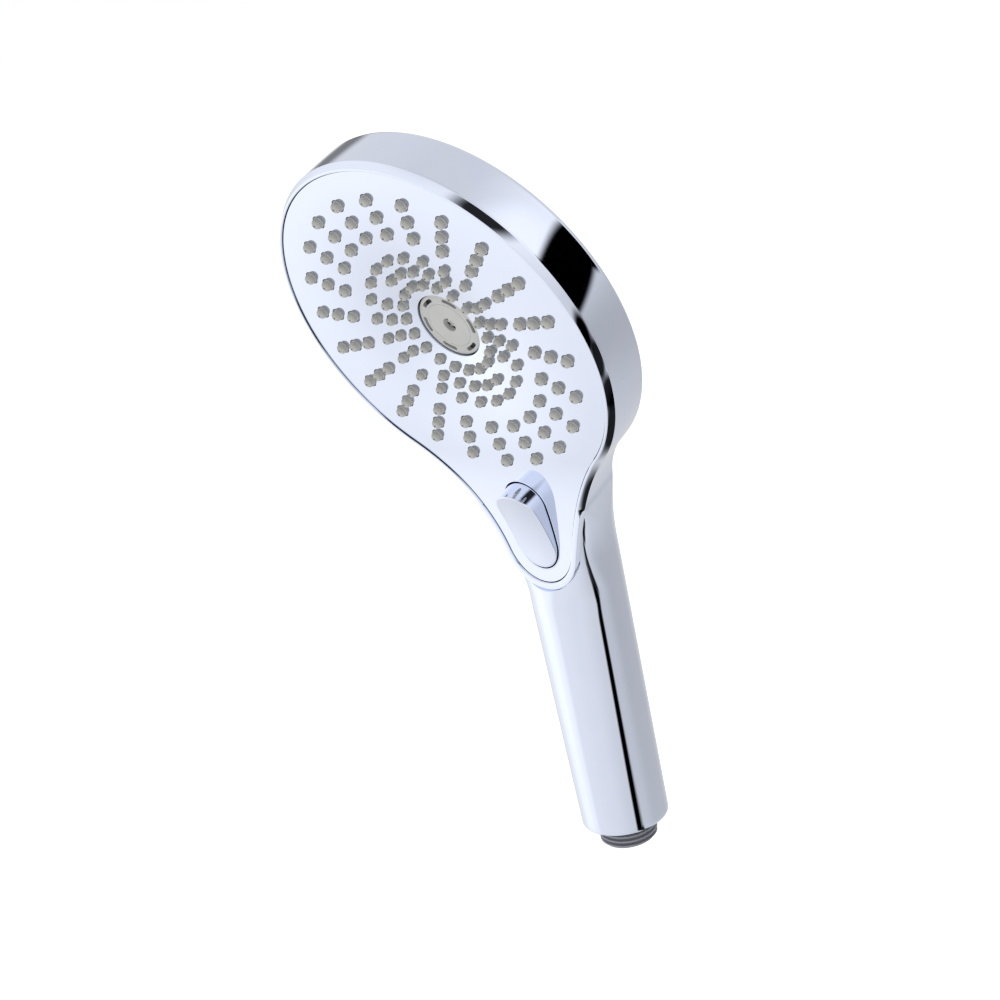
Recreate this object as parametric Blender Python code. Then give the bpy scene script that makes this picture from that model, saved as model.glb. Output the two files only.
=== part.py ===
"""Handheld shower head with a 130 mm round head, a rocker button and a G1/2 inlet.

Frame: the origin is the centre of the inlet thread's end face, +Z runs up the handle and
-Y is the side that sprays. Lengths are in metres; a named value is written as
millimetres times MM.

The head is modelled in its own frame, an empty whose Z axis is the spray direction. In it,
s is the distance from the head's axis towards the handle (local -Y) and w is the height
towards the spray side (local Z). w = 0 is the crest of the front ring.
"""
import math

import bmesh
import bpy
import numpy as np
from mathutils import Matrix

MM = 0.001
GAP = 0.3 * MM

# Overall layout
HEAD_TILT = math.radians(18.4)
HEAD_CENTRE_Z = 201.9 * MM
HEAD_RADIUS = 65.3 * MM
TAIL_FROM_HEAD = 17.9 * MM
TAIL_CENTRE = HEAD_RADIUS + TAIL_FROM_HEAD
AXIS_BEHIND_TAIL = 8.892 * MM
HEAD_CENTRE_Y = -TAIL_CENTRE * math.sin(HEAD_TILT) - AXIS_BEHIND_TAIL * math.cos(HEAD_TILT)

# Outline of the head: the round head, a hollow side and the round tail on the handle
TAIL_RADIUS = 17.4 * MM
SIDE_RADIUS = 92.0 * MM
BEND_START = HEAD_RADIUS - 15.3 * MM
BEND_LENGTH = 39.0 * MM

# Back shell
WALL = 2.2 * MM
RIM_DEPTH = 19.7 * MM
CORNER_RADIUS = 2.4 * MM
BACK_DEPTH = 31.0 * MM
BACK_RISE_START = HEAD_RADIUS - 20.3 * MM
BACK_RISE_LENGTH = 50.0 * MM
HANDLE_END = 8.5 * MM
SHOULDER_RADIUS = 55.0 * MM
NECK_START = HEAD_RADIUS - 25.3 * MM
NECK_END = TAIL_CENTRE + 16.8 * MM
NECK_SQUARENESS = 7.0
HANDLE_HALF_WIDTH_TOP = 17.8 * MM
HANDLE_HALF_WIDTH_END = 15.7 * MM
HANDLE_FRONT_TOP = 14.3 * MM
HANDLE_FRONT_END = 15.4 * MM
HANDLE_EDGE = 0.7 * MM
FLOOR = 2.0 * MM
MOUTH_MARGIN = 3.6 * MM
MOUTH_PAST_BUTTON = 1.5 * MM
MOUTH_DEPTH = 9.0 * MM
RAW_FRONT = 2.0 * MM
FACE_CUT_LENGTH = 23.0 * MM
SHELL_FRONT_CLEAR = 40.0 * MM

# Front ring and face plate
RING_HEIGHT = 2.6 * MM
RING_WIDTH = 2.3 * MM
RING_ROUND = 0.7 * MM
PLATE_DROP = 0.6 * MM
PLATE_THICKNESS = 1.2 * MM
DISH_MARGIN = 7.3 * MM
DISH_RADIUS = HEAD_RADIUS - DISH_MARGIN
DISH_DEPTH = 7.8 * MM

# Centre disc
DISC_RADIUS = 11.9 * MM
DISC_FACE = 6.0 * MM
DISC_THICKNESS = 1.6 * MM
DISC_HOLE_RADIUS = 2.45 * MM
DISC_SLOTS = 6
DISC_SLOT_RADIUS = 10.0 * MM
DISC_SLOT_WIDTH = 1.4 * MM
DISC_SLOT_ANGLE = math.radians(30.0)

# Spray nozzles, on rings between the centre disc and the edge of the dish
MAT_THICKNESS = 1.1 * MM
MAT_OUTER_EDGE = DISH_RADIUS - 1.5 * MM
MAT_INNER_EDGE = DISC_RADIUS + 2.3 * MM
NOZZLE_FIELD = MAT_OUTER_EDGE - MAT_INNER_EDGE
MAT_SPLIT = MAT_INNER_EDGE + 0.4563 * NOZZLE_FIELD
OUTER_SPOKES = 22
OUTER_RADII = (
    MAT_INNER_EDGE + 0.8948 * NOZZLE_FIELD,
    MAT_INNER_EDGE + 0.7352 * NOZZLE_FIELD,
    MAT_INNER_EDGE + 0.5768 * NOZZLE_FIELD,
)
INNER_RADIUS_A = MAT_INNER_EDGE + 0.3428 * NOZZLE_FIELD
INNER_RADIUS_B = MAT_INNER_EDGE + 0.2045 * NOZZLE_FIELD
INNER_RADIUS_C = MAT_INNER_EDGE + 0.0662 * NOZZLE_FIELD
INNER_COUNT_C = 18
MISSING_B = (3, 8, 14, 19)
OUTER_NOZZLE_RADIUS = 2.05 * MM
INNER_NOZZLE_RADIUS = 1.75 * MM
NOZZLE_HEIGHT = 2.3 * MM
NOZZLE_TAPER = 0.72
NOZZLE_SIDES = 5

# Turbine behind the centre disc
TURBINE_RADIUS = 7.4 * MM
TURBINE_BLADES = 8
TURBINE_HEIGHT = 1.8 * MM
AXLE_RADIUS = 0.9 * MM

# Spray body and chamber lid
BODY_MARGIN = 7.8 * MM
BODY_RADIUS = HEAD_RADIUS - BODY_MARGIN
BODY_BACK = 10.5 * MM
LID_MARGIN = 3.5 * MM
LID_RADIUS = BODY_RADIUS - LID_MARGIN
LID_THICKNESS = 1.4 * MM
SCREW_COUNT = 4
SCREW_RADIUS = 1.4 * MM
SCREW_HEAD_RADIUS = 2.7 * MM
SCREW_HEAD_HEIGHT = 1.8 * MM
SCREW_DEPTH = 4.2 * MM
SEAL_RADIUS = LID_RADIUS - 2.2 * MM
SEAL_WIRE = 0.6 * MM
SEAL_GROOVE = 1.0 * MM
SCREW_CIRCLE = SEAL_RADIUS - 7.8 * MM

# Diverter
VALVE_RADIUS = 9.5 * MM
VALVE_CENTRE = SEAL_RADIUS - SEAL_GROOVE - VALVE_RADIUS - 1.3 * MM
VALVE_DEPTH = 4.0 * MM
SEAT_THICKNESS = 0.9 * MM
DIVERTER_THICKNESS = 1.9 * MM
PORT_CIRCLE = 6.6 * MM
PORT_RADIUS = 1.1 * MM
PORT_COUNT = 15
SPINDLE_RADIUS = 2.0 * MM
SPINDLE_LENGTH = 6.6 * MM
RATCHET_RADIUS = 4.6 * MM
RATCHET_TEETH = 15
RATCHET_TOOTH = 0.8 * MM
RATCHET_THICKNESS = 2.0 * MM
CLIP_RADIUS = 3.6 * MM
CLIP_THICKNESS = 0.7 * MM

# Rocker button, its pin and spring, and the pawl slider
BUTTON_FROM_BODY = 3.9 * MM
BUTTON_TOP = BODY_RADIUS + BUTTON_FROM_BODY
BUTTON_LENGTH = 31.6 * MM
BUTTON_HALF_WIDTH = 8.7 * MM
BUTTON_RAISE = 7.2 * MM
BUTTON_CLEARANCE = 0.55 * MM
PIN_FROM_TOP = 25.0 * MM
PIN_OVER_TUBE = 0.36 * MM
PIN_RADIUS = 1.0 * MM
PIN_LENGTH = 24.0 * MM
LUG_THICKNESS = 2.2 * MM
LUG_RADIUS = 2.4 * MM
CRANK_SIDE = 8.1 * MM
CRANK_THICKNESS = 1.4 * MM
CRANK_WIDTH = 3.0 * MM
SLIDER_DEPTH = 13.9 * MM
SLIDER_THICKNESS = 1.6 * MM
SLIDER_SIDE = 10.2 * MM
SLIDER_WIDTH = 2.0 * MM
SLIDER_END = 2.5 * MM
PEG_RADIUS = 0.9 * MM
SPRING_RADIUS = 1.8 * MM
SPRING_WIRE = 0.25 * MM
SPRING_PITCH = 0.85 * MM
SPRING_TURNS = 3
SPRING_SIDE = 3.2 * MM
SPRING_CLEARANCE = 0.55 * MM

# Inlet tube, thread and what sits in the handle
THREAD_RADIUS = 10.478 * MM
THREAD_PITCH = 1.814 * MM
THREAD_HEIGHT = 1.162 * MM
THREAD_LENGTH = 13.0 * MM
TUBE_RADIUS = 6.0 * MM
TUBE_BORE = 4.0 * MM
INLET_BORE = 7.6 * MM
INLET_SHOULDER = 1.6 * MM
TUBE_PAST_LID = 9.71 * MM
TUBE_END_S = LID_RADIUS + TUBE_PAST_LID
TUBE_TOP = HEAD_CENTRE_Z - (
    TUBE_END_S + HEAD_CENTRE_Y * math.sin(HEAD_TILT)
) / math.cos(HEAD_TILT)
SOCKET_CLEARANCE = 0.5 * MM
SOCKET_WALL = 1.5 * MM
SOCKET_LENGTH = 11.0 * MM
ORING_WIRE = 0.45 * MM
ORING_FROM_TOP = 5.0 * MM
BUSH_HEIGHT = 6.0 * MM
RESTRICTOR_THICKNESS = 3.0 * MM
SCREEN_THICKNESS = 1.0 * MM
SCREEN_HOLES = 7
SCREEN_HOLE = 1.1 * MM
SCREEN_CIRCLE = 4.6 * MM


def material(name, colour, roughness, metallic):
    """A Principled material with the given base colour."""
    made = bpy.data.materials.new(name)
    made.use_nodes = True
    shader = made.node_tree.nodes["Principled BSDF"]
    shader.inputs["Base Color"].default_value = (*colour, 1.0)
    shader.inputs["Roughness"].default_value = roughness
    shader.inputs["Metallic"].default_value = metallic
    return made


def add_mesh(name, points, faces, look, parent=None, matrix=None):
    """A mesh object from points and faces, with doubled points merged and shaded smooth."""
    mesh = bpy.data.meshes.new(name)
    work = bmesh.new()
    corners = [work.verts.new(tuple(float(c) for c in p)) for p in points]
    for face in faces:
        work.faces.new([corners[i] for i in face])
    bmesh.ops.remove_doubles(work, verts=work.verts, dist=0.002 * MM)
    bmesh.ops.dissolve_degenerate(work, edges=work.edges, dist=0.001 * MM)
    bmesh.ops.recalc_face_normals(work, faces=work.faces)
    if work.calc_volume(signed=True) < 0.0:
        bmesh.ops.reverse_faces(work, faces=work.faces)
    work.to_mesh(mesh)
    work.free()
    mesh.materials.append(look)
    mesh.shade_smooth()
    mesh.set_sharp_from_angle(angle=math.radians(35.0))
    made = bpy.data.objects.new(name, mesh)
    bpy.context.collection.objects.link(made)
    if parent is not None:
        made.parent = parent
    if matrix is not None:
        made.matrix_local = matrix
    return made


def as_cutter(shape):
    """Mark a shape as a tool for Booleans: a wire that isn't part of the object."""
    shape.hide_render = True
    shape.display_type = "WIRE"
    return shape


def boolean(target, tool, operation, solver="EXACT"):
    """Join a tool to the target or cut it out, and keep the tool as a guide."""
    as_cutter(tool)
    modifier = target.modifiers.new(tool.name, "BOOLEAN")
    modifier.operation = operation
    modifier.object = tool
    modifier.solver = solver
    return target


def lathe(name, profile, look, parent=None, matrix=None, segments=32):
    """Turn a closed profile of (radius, height) points round the local Z axis."""
    count = len(profile)
    points = []
    for step in range(segments):
        turn = 2.0 * math.pi * step / segments
        for radius, height in profile:
            points.append((radius * math.cos(turn), radius * math.sin(turn), height))
    faces = []
    for step in range(segments):
        here = step * count
        there = ((step + 1) % segments) * count
        for i in range(count):
            j = (i + 1) % count
            on_axis = profile[i][0] == 0.0 and profile[j][0] == 0.0
            if on_axis:
                continue
            if profile[i][0] == 0.0:
                faces.append((here + i, there + j, here + j))
            elif profile[j][0] == 0.0:
                faces.append((here + i, there + i, here + j))
            else:
                faces.append((here + i, there + i, there + j, here + j))
    return add_mesh(name, points, faces, look, parent, matrix)


def cylinder(name, radius, low, high, look, parent=None, matrix=None, segments=24):
    """A solid cylinder along local Z."""
    profile = [(0.0, low), (radius, low), (radius, high), (0.0, high)]
    return lathe(name, profile, look, parent, matrix, segments)


def prism(name, outline, low, high, look, parent=None, matrix=None):
    """A straight prism over an outline of (x, y) points, along local Z."""
    count = len(outline)
    points = [(x, y, low) for x, y in outline] + [(x, y, high) for x, y in outline]
    faces = [tuple(range(count)), tuple(range(2 * count - 1, count - 1, -1))]
    for i in range(count):
        j = (i + 1) % count
        faces.append((i, j, count + j, count + i))
    return add_mesh(name, points, faces, look, parent, matrix)


def box(name, low, high, look, parent=None, matrix=None):
    """A box between two corners."""
    outline = [(low[0], low[1]), (high[0], low[1]), (high[0], high[1]), (low[0], high[1])]
    return prism(name, outline, low[2], high[2], look, parent, matrix)


def at(x, y, z):
    """A plain shift."""
    return Matrix.Translation((x, y, z))


def bend(s):
    """Rise of the face towards the spray side, from flat to the handle's direction."""
    run = np.clip(s - BEND_START, 0.0, None)
    rise = np.where(run < BEND_LENGTH, run * run / (2.0 * BEND_LENGTH), run - BEND_LENGTH / 2.0)
    return math.tan(HEAD_TILT) * rise


def dish(x, s):
    """Depth of the dished face below its rim."""
    run = np.clip(1.0 - np.hypot(x, s) / DISH_RADIUS, 0.0, None)
    return DISH_DEPTH * run * run


def keyhole(offset, head_steps=18, side_steps=7, tail_steps=7):
    """Half of the head's outline, moved outwards by offset, from the top to the tail.

    Three arcs that touch: the head, the hollow side and the tail. Returns the outline
    points (x, s) and, for each, the point of the centre line that it looks at.
    """
    head = HEAD_RADIUS + offset
    tail = TAIL_RADIUS + offset
    side = SIDE_RADIUS - offset
    reach = head + side
    side_s = (reach**2 - (tail + side) ** 2 + TAIL_CENTRE**2) / (2.0 * TAIL_CENTRE)
    side_x = math.sqrt(reach**2 - side_s**2)
    head_turn = math.pi - math.atan2(side_x, side_s)
    first = math.atan2(side_s, side_x)
    last = math.atan2(side_s - TAIL_CENTRE, side_x)
    turns = np.linspace(0.0, head_turn, head_steps + 1)
    outline = [np.stack([head * np.sin(turns), -head * np.cos(turns)], 1)]
    centres = [np.zeros(head_steps + 1)]
    turns = np.linspace(first, last, side_steps + 1)[1:]
    outline.append(np.stack([side_x - side * np.cos(turns), side_s - side * np.sin(turns)], 1))
    share = np.linspace(0.0, 1.0, side_steps + 1)[1:]
    centres.append(TAIL_CENTRE * share)
    turns = np.linspace(last, math.pi / 2.0, tail_steps + 1)[1:]
    outline.append(
        np.stack([tail * np.cos(turns), TAIL_CENTRE + tail * np.sin(turns)], 1)
    )
    centres.append(np.full(tail_steps, TAIL_CENTRE))
    return np.concatenate(outline), np.concatenate(centres)


def both_sides(outline, centres):
    """Mirror a half outline, which starts and ends on the centre line, to a closed one."""
    left = outline[-2:0:-1] * np.array([-1.0, 1.0])
    return np.concatenate([outline, left]), np.concatenate([centres, centres[-2:0:-1]])


def slab(name, offset, low, high, look, parent, rings=1):
    """A plate over the head's outline whose two faces follow heights low and high.

    low and high are functions of (x, s). Each face is a fan of quads that run from the
    outline to the centre line in equal steps.
    """
    outline, centres = both_sides(*keyhole(offset))
    count = len(outline)
    target = np.stack([np.zeros(count), centres], 1)
    layers = []
    for height in (low, high):
        for share in np.linspace(0.0, 1.0, rings + 1):
            flat = outline + (target - outline) * share
            level = height(flat[:, 0], flat[:, 1]) + np.zeros(count)
            layers.append(np.stack([flat[:, 0], -flat[:, 1], level], 1))
    points = np.concatenate(layers)
    faces = []
    for side in (0, rings + 1):
        for ring in range(rings):
            for i in range(count):
                j = (i + 1) % count
                a = (side + ring) * count
                faces.append((a + i, a + j, a + count + j, a + count + i))
    upper = (rings + 1) * count
    for i in range(count):
        j = (i + 1) % count
        faces.append((i, j, upper + j, upper + i))
    return add_mesh(name, points, faces, look, parent)


def band(name, section, look, parent):
    """A closed section of (offset, height) points swept round the head's outline."""
    rows = []
    for offset, height in section:
        outline, _ = both_sides(*keyhole(offset))
        level = bend(outline[:, 1]) + height
        rows.append(np.stack([outline[:, 0], -outline[:, 1], level], 1))
    count = len(rows[0])
    faces = []
    for a in range(len(rows)):
        b = (a + 1) % len(rows)
        for i in range(count):
            j = (i + 1) % count
            faces.append((a * count + i, a * count + j, b * count + j, b * count + i))
    return add_mesh(name, np.concatenate(rows), faces, look, parent)


def side_prism(name, outline, left, right, look, parent=None):
    """A prism over an outline of (s, w) points in the head's side view, along X."""
    count = len(outline)
    points = [(left, -s, w) for s, w in outline] + [(right, -s, w) for s, w in outline]
    faces = [tuple(range(count)), tuple(range(2 * count - 1, count - 1, -1))]
    for i in range(count):
        j = (i + 1) % count
        faces.append((i, j, count + j, count + i))
    return add_mesh(name, points, faces, look, parent)


def round_outline(radius, centre_s, centre_w, steps=16):
    """A circle of (s, w) points."""
    turns = [2.0 * math.pi * i / steps for i in range(steps)]
    return [(centre_s + radius * math.cos(t), centre_w + radius * math.sin(t)) for t in turns]


def handle_axis_w(s):
    """Height w of the handle's axis at distance s."""
    start = HEAD_CENTRE_Y / math.cos(HEAD_TILT)
    return start + math.tan(HEAD_TILT) * s


def handle_s(z):
    """Distance s of the handle axis point at height z."""
    return (HEAD_CENTRE_Z - z) * math.cos(HEAD_TILT) - HEAD_CENTRE_Y * math.sin(HEAD_TILT)


def smooth(value, low, high):
    """A smooth step from 0 at low to 1 at high."""
    share = np.clip((value - low) / (high - low), 0.0, 1.0)
    return share * share * (3.0 - 2.0 * share)


def shell_stations(inset, head_steps, side_steps, handle_steps, end):
    """Half outline of the back shell and the centre-line point of each of its sections.

    The head's arc, then a shoulder arc that touches it and the handle's side, then the
    handle down to the height end.
    """
    head = HEAD_RADIUS - inset
    half = HANDLE_HALF_WIDTH_TOP - inset
    side = SHOULDER_RADIUS + inset
    side_x = half + side
    side_s = math.sqrt((head + side) ** 2 - side_x**2)
    turns = np.linspace(0.0, math.pi - math.atan2(side_x, side_s), head_steps + 1)
    outline = [np.stack([head * np.sin(turns), -head * np.cos(turns)], 1)]
    centres = [np.zeros(head_steps + 1)]
    share = np.linspace(0.0, 1.0, side_steps + 1)[1:]
    turns = math.atan2(side_s, side_x) * (1.0 - share)
    outline.append(np.stack([side_x - side * np.cos(turns), side_s - side * np.sin(turns)], 1))
    centres.append(outline[1][:, 1] * (1.0 - (1.0 - share) ** 2))
    last = handle_s(end)
    along = np.linspace(side_s, last, handle_steps + 1)[1:]
    narrow = (along - side_s) / (handle_s(HANDLE_END) - side_s)
    width = HANDLE_HALF_WIDTH_TOP + narrow * (HANDLE_HALF_WIDTH_END - HANDLE_HALF_WIDTH_TOP)
    outline.append(np.stack([width - inset, along], 1))
    centres.append(along)
    return np.concatenate(outline), np.concatenate(centres)


def shell_body(name, inset, face_height, look, parent, end, edge=0.0):
    """The back shell's outer form, or its hollow when inset is the wall.

    Each section runs from the front of the centre line round the side to the back. On the
    head it is a straight wall, a rounded corner and a shallow dome; on the handle it is
    two half ellipses; over the neck one blends to the other. edge is the chamfer at the
    lower end.
    """
    outline, centres = shell_stations(inset, 18, 8, 5, end)
    if edge > 0.0:
        outline[-1, 1] -= edge
        centres[-1] -= edge
        outline = np.concatenate([outline, outline[-1:] + np.array([[-edge, edge]])])
        centres = np.append(centres, centres[-1] + edge)
    s = outline[:, 1:2]
    middle = centres[:, None]
    share = smooth(middle, NECK_START, NECK_END)
    round_share = smooth(s, NECK_END - 14.0 * MM, NECK_END + 10.0 * MM)
    square = 2.0 + (NECK_SQUARENESS - 2.0) * (1.0 - round_share)
    narrow = smooth(s, NECK_END, handle_s(HANDLE_END))
    front = HANDLE_FRONT_TOP + narrow * (HANDLE_FRONT_END - HANDLE_FRONT_TOP) - inset
    back = outline[:, 0:1]
    if edge > 0.0:
        front[-1] -= edge
    back = np.where(share > 0.0, np.minimum(back, HANDLE_HALF_WIDTH_TOP - inset), back)

    turn = np.radians(np.array([[90.0, 68.0, 45.0, 22.0, 0.0]]))
    head_front = np.stack([np.cos(turn)[0], np.full(5, face_height)], 1)
    corner = CORNER_RADIUS
    rim = RIM_DEPTH - inset
    dome = BACK_DEPTH - inset
    rise_from = BACK_RISE_START
    wall_turns = np.radians([0.0, 30.0, 60.0, 85.0])
    head_back = [(1.0, -rim + corner)]
    for angle in wall_turns[1:]:
        inward = corner * (1.0 - math.cos(angle)) / HEAD_RADIUS
        head_back.append((1.0 - inward, -rim + corner - corner * math.sin(angle)))
    for c in (0.8, 0.6, 0.4, 0.2, 0.0):
        edge_c = head_back[3][0]
        head_back.append((c, -rim - (dome - rim) * (1.0 - (c / edge_c) ** 2)))
    head = np.concatenate([head_front, np.array(head_back)])
    back_turn = np.radians([-14.0, -26.0, -38.0, -48.0, -56.0, -64.0, -72.0, -81.0, -90.0])
    all_turn = np.concatenate([turn[0], back_turn])[None, :]

    depth = np.where(all_turn > 0.0, front, back)
    across = (1.0 - share) * head[None, :, 0] + share * np.cos(all_turn)
    tilt = HEAD_TILT * share
    height = np.sin(all_turn)
    full = np.clip(1.0 - np.clip(np.cos(all_turn), 0.0, 1.0) ** square, 0.0, 1.0) ** (1.0 / square)
    height = np.where(all_turn > 0.0, full, height)
    lift = share * depth * height
    rise_run = np.clip(middle - rise_from, 0.0, None)
    rise = math.tan(HEAD_TILT) * np.where(
        rise_run < BACK_RISE_LENGTH,
        rise_run**2 / (2.0 * BACK_RISE_LENGTH),
        rise_run - BACK_RISE_LENGTH / 2.0,
    )
    base = head[None, :, 1] + np.where(head[None, :, 1] < 0.0, rise, 0.0)
    w = (1.0 - share) * base + share * handle_axis_w(middle) + lift * np.cos(tilt)
    plan_s = middle + (s - middle) * across - lift * np.sin(tilt)
    x = outline[:, 0:1] * across
    right = np.stack([x, -plan_s, w], 2)
    rows, columns = x.shape
    left = right * np.array([-1.0, 1.0, 1.0])
    points = np.concatenate([right.reshape(-1, 3), left.reshape(-1, 3)])
    faces = []
    for side in (0, rows * columns):
        for i in range(rows - 1):
            for j in range(columns - 1):
                a = side + i * columns + j
                faces.append((a, a + 1, a + columns + 1, a + columns))
    last = (rows - 1) * columns
    loop = [last + j for j in range(columns)]
    loop += [rows * columns + last + j for j in range(columns - 2, 0, -1)]
    made = add_mesh(name, points, faces + [tuple(loop)], look, parent)
    return made


def nozzle_places():
    """Centres (x, s) of the outer and the inner nozzles.

    The outer field is straight spokes. The inner field is a ring on the same spokes, a
    second ring that leaves out four places, and a third ring of its own count.
    """
    outer = []
    inner = []
    for step in range(OUTER_SPOKES):
        turn = 2.0 * math.pi * step / OUTER_SPOKES
        for radius in OUTER_RADII:
            outer.append((radius * math.sin(turn), radius * math.cos(turn)))
        inner.append((INNER_RADIUS_A * math.sin(turn), INNER_RADIUS_A * math.cos(turn)))
        if step not in MISSING_B:
            inner.append((INNER_RADIUS_B * math.sin(turn), INNER_RADIUS_B * math.cos(turn)))
    for step in range(INNER_COUNT_C):
        turn = 2.0 * math.pi * step / INNER_COUNT_C
        inner.append((INNER_RADIUS_C * math.sin(turn), INNER_RADIUS_C * math.cos(turn)))
    return outer, inner


def plate_top(x, s):
    """Height of the face plate's outer side."""
    return bend(s) - PLATE_DROP - dish(x, s)


def pegs(name, places, radius, top_radius, low, high, look, parent):
    """Many tapered pegs as one tool: radius at the plate, top_radius at the tip.

    low and high are heights above the face plate's outer side.
    """
    points = []
    faces = []
    sides = NOZZLE_SIDES
    for x, s in places:
        level = float(plate_top(x, s))
        first = len(points)
        for r, height in ((radius, low), (top_radius, high)):
            for side in range(sides):
                turn = 2.0 * math.pi * side / sides
                corner = (x + r * math.cos(turn), -s + r * math.sin(turn), level + height)
                points.append(corner)
        faces.append(tuple(first + i for i in range(sides)))
        faces.append(tuple(first + sides + i for i in range(sides - 1, -1, -1)))
        for i in range(sides):
            j = (i + 1) % sides
            faces.append((first + i, first + j, first + sides + j, first + sides + i))
    return add_mesh(name, points, faces, look, parent)


def dished_rows(first, last, steps, shift):
    """Points (radius, height) along the dish between two radii, shifted in height."""
    rows = []
    for radius in np.linspace(first, last, steps + 1):
        rows.append((float(radius), -PLATE_DROP - float(dish(radius, 0.0)) + shift))
    return rows


def ring_of_wire(radius, wire, height, sides=8):
    """Closed profile of an O-ring for the lathe."""
    turns = [2.0 * math.pi * i / sides for i in range(sides)]
    return [(radius + wire * math.cos(t), height + wire * math.sin(t)) for t in turns]


def arc_slot(radius, width, middle, angle, steps=5):
    """Outline of a curved slot with square ends."""
    turns = np.linspace(middle - angle / 2.0, middle + angle / 2.0, steps)
    far = [((radius + width / 2) * math.cos(t), (radius + width / 2) * math.sin(t)) for t in turns]
    near = [((radius - width / 2) * math.cos(t), (radius - width / 2) * math.sin(t)) for t in turns]
    return far + near[::-1]


def button_outline(grow, steps=8):
    """Stadium outline (x, s) of the button, or of its opening when grown."""
    half = BUTTON_HALF_WIDTH + grow
    top = BUTTON_TOP + BUTTON_HALF_WIDTH
    low = BUTTON_TOP + BUTTON_LENGTH - BUTTON_HALF_WIDTH
    outline = []
    for i in range(steps + 1):
        turn = math.pi * i / steps
        outline.append((half * math.cos(turn), top - half * math.sin(turn)))
    middle = (low + top) / 2.0
    outline.append((-half, middle))
    for i in range(steps + 1):
        turn = math.pi * i / steps
        outline.append((-half * math.cos(turn), low + half * math.sin(turn)))
    outline.append((half, middle))
    return outline


def button_rise(s):
    """Height of the button's top above the face plate, from its high end to its flush end."""
    share = (s - BUTTON_TOP) / BUTTON_LENGTH
    return BUTTON_RAISE * (1.0 - share) + GAP


def build_shell(chrome, head):
    """Back shell: head wall, neck and handle in one hollow moulding."""
    shell = shell_body("back_shell", 0.0, RAW_FRONT, chrome, head, HANDLE_END, HANDLE_EDGE)
    hollow = shell_body("tool_shell_hollow", WALL, RAW_FRONT + 4.0 * MM, chrome, head,
                        HANDLE_END + FLOOR)
    boolean(shell, hollow, "DIFFERENCE", "MANIFOLD")
    seat = -RING_HEIGHT - GAP
    steps = np.linspace(BEND_START, BEND_START + FACE_CUT_LENGTH, 6)
    rim = [(-2.0 * HEAD_RADIUS, seat)]
    rim += [(float(s), float(bend(s)) + seat) for s in steps]
    rim += [(float(steps[-1]), SHELL_FRONT_CLEAR), (-2.0 * HEAD_RADIUS, SHELL_FRONT_CLEAR)]
    across = 2.0 * HEAD_RADIUS
    face = side_prism("tool_shell_face", rim, -across, across, chrome, head)
    boolean(shell, face, "DIFFERENCE", "MANIFOLD")

    def low(x, s):
        return bend(s) + seat

    def high(x, s):
        return bend(s) + SHELL_FRONT_CLEAR

    pocket = slab("tool_shell_pocket", GAP, low, high, chrome, head)
    boolean(shell, pocket, "DIFFERENCE", "MANIFOLD")
    half = BUTTON_HALF_WIDTH + MOUTH_MARGIN
    mouth_end = BUTTON_TOP + BUTTON_LENGTH + MOUTH_PAST_BUTTON
    mouth = box("tool_shell_mouth", (-half, -mouth_end, -MOUTH_DEPTH),
                (half, -BUTTON_TOP, SHELL_FRONT_CLEAR), chrome, head)
    boolean(shell, mouth, "DIFFERENCE", "MANIFOLD")
    hole = cylinder("tool_shell_inlet", THREAD_RADIUS + GAP, 0.0, HANDLE_END + 2.0 * FLOOR, chrome)
    boolean(shell, hole, "DIFFERENCE", "MANIFOLD")
    return shell


def build_face(chrome, mirror, head):
    """Front ring and face plate, with the openings for nozzles, disc and button."""
    section = [
        (0.0, -RING_HEIGHT),
        (0.0, -RING_ROUND),
        (-0.3 * RING_ROUND, -0.3 * RING_ROUND),
        (-RING_ROUND, 0.0),
        (-RING_WIDTH, 0.0),
        (-RING_WIDTH, -RING_HEIGHT),
    ]
    band("front_ring", section, chrome, head)

    def low(x, s):
        return plate_top(x, s) - PLATE_THICKNESS

    plate = slab("face_plate", -RING_WIDTH - GAP, low, plate_top, mirror, head, rings=5)
    pin_s, pin_w = pin_place()
    top = plate_top(0.0, pin_s) - 0.5 * PLATE_THICKNESS
    slope = math.tan(HEAD_TILT) * LUG_RADIUS * 0.9
    lug = [(pin_s - LUG_RADIUS, top - slope), (pin_s - LUG_RADIUS, pin_w)]
    for i in range(1, 8):
        turn = math.pi * i / 8.0
        lug.append((pin_s - LUG_RADIUS * math.cos(turn), pin_w - LUG_RADIUS * math.sin(turn)))
    lug += [(pin_s + LUG_RADIUS, pin_w), (pin_s + LUG_RADIUS, top + slope)]
    inside = BUTTON_HALF_WIDTH + BUTTON_CLEARANCE + GAP
    bore = round_outline(PIN_RADIUS + GAP, pin_s, pin_w)
    bore = side_prism("tool_lug_bore", bore, -PIN_LENGTH, PIN_LENGTH, mirror, head)
    for side, place in (("left", -inside - LUG_THICKNESS), ("right", inside)):
        tab = side_prism("tool_lug_" + side, lug, place, place + LUG_THICKNESS, mirror, head)
        boolean(tab, bore, "DIFFERENCE")
        boolean(plate, tab, "UNION")
    outer, inner = nozzle_places()
    for name, places, radius in (
        ("tool_holes_outer", outer, OUTER_NOZZLE_RADIUS + GAP),
        ("tool_holes_inner", inner, INNER_NOZZLE_RADIUS + GAP),
    ):
        holes = pegs(name, places, radius, radius, -4.0 * MM, 4.0 * MM, mirror, head)
        boolean(plate, holes, "DIFFERENCE")
    centre = cylinder(
        "tool_plate_centre", DISC_RADIUS + GAP, -20.0 * MM, 5.0 * MM, mirror, head
    )
    boolean(plate, centre, "DIFFERENCE")
    outline = [(x, -s) for x, s in button_outline(BUTTON_CLEARANCE)]
    opening = prism("tool_plate_button", outline, -20.0 * MM, 20.0 * MM, mirror, head)
    boolean(plate, opening, "DIFFERENCE")


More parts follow.
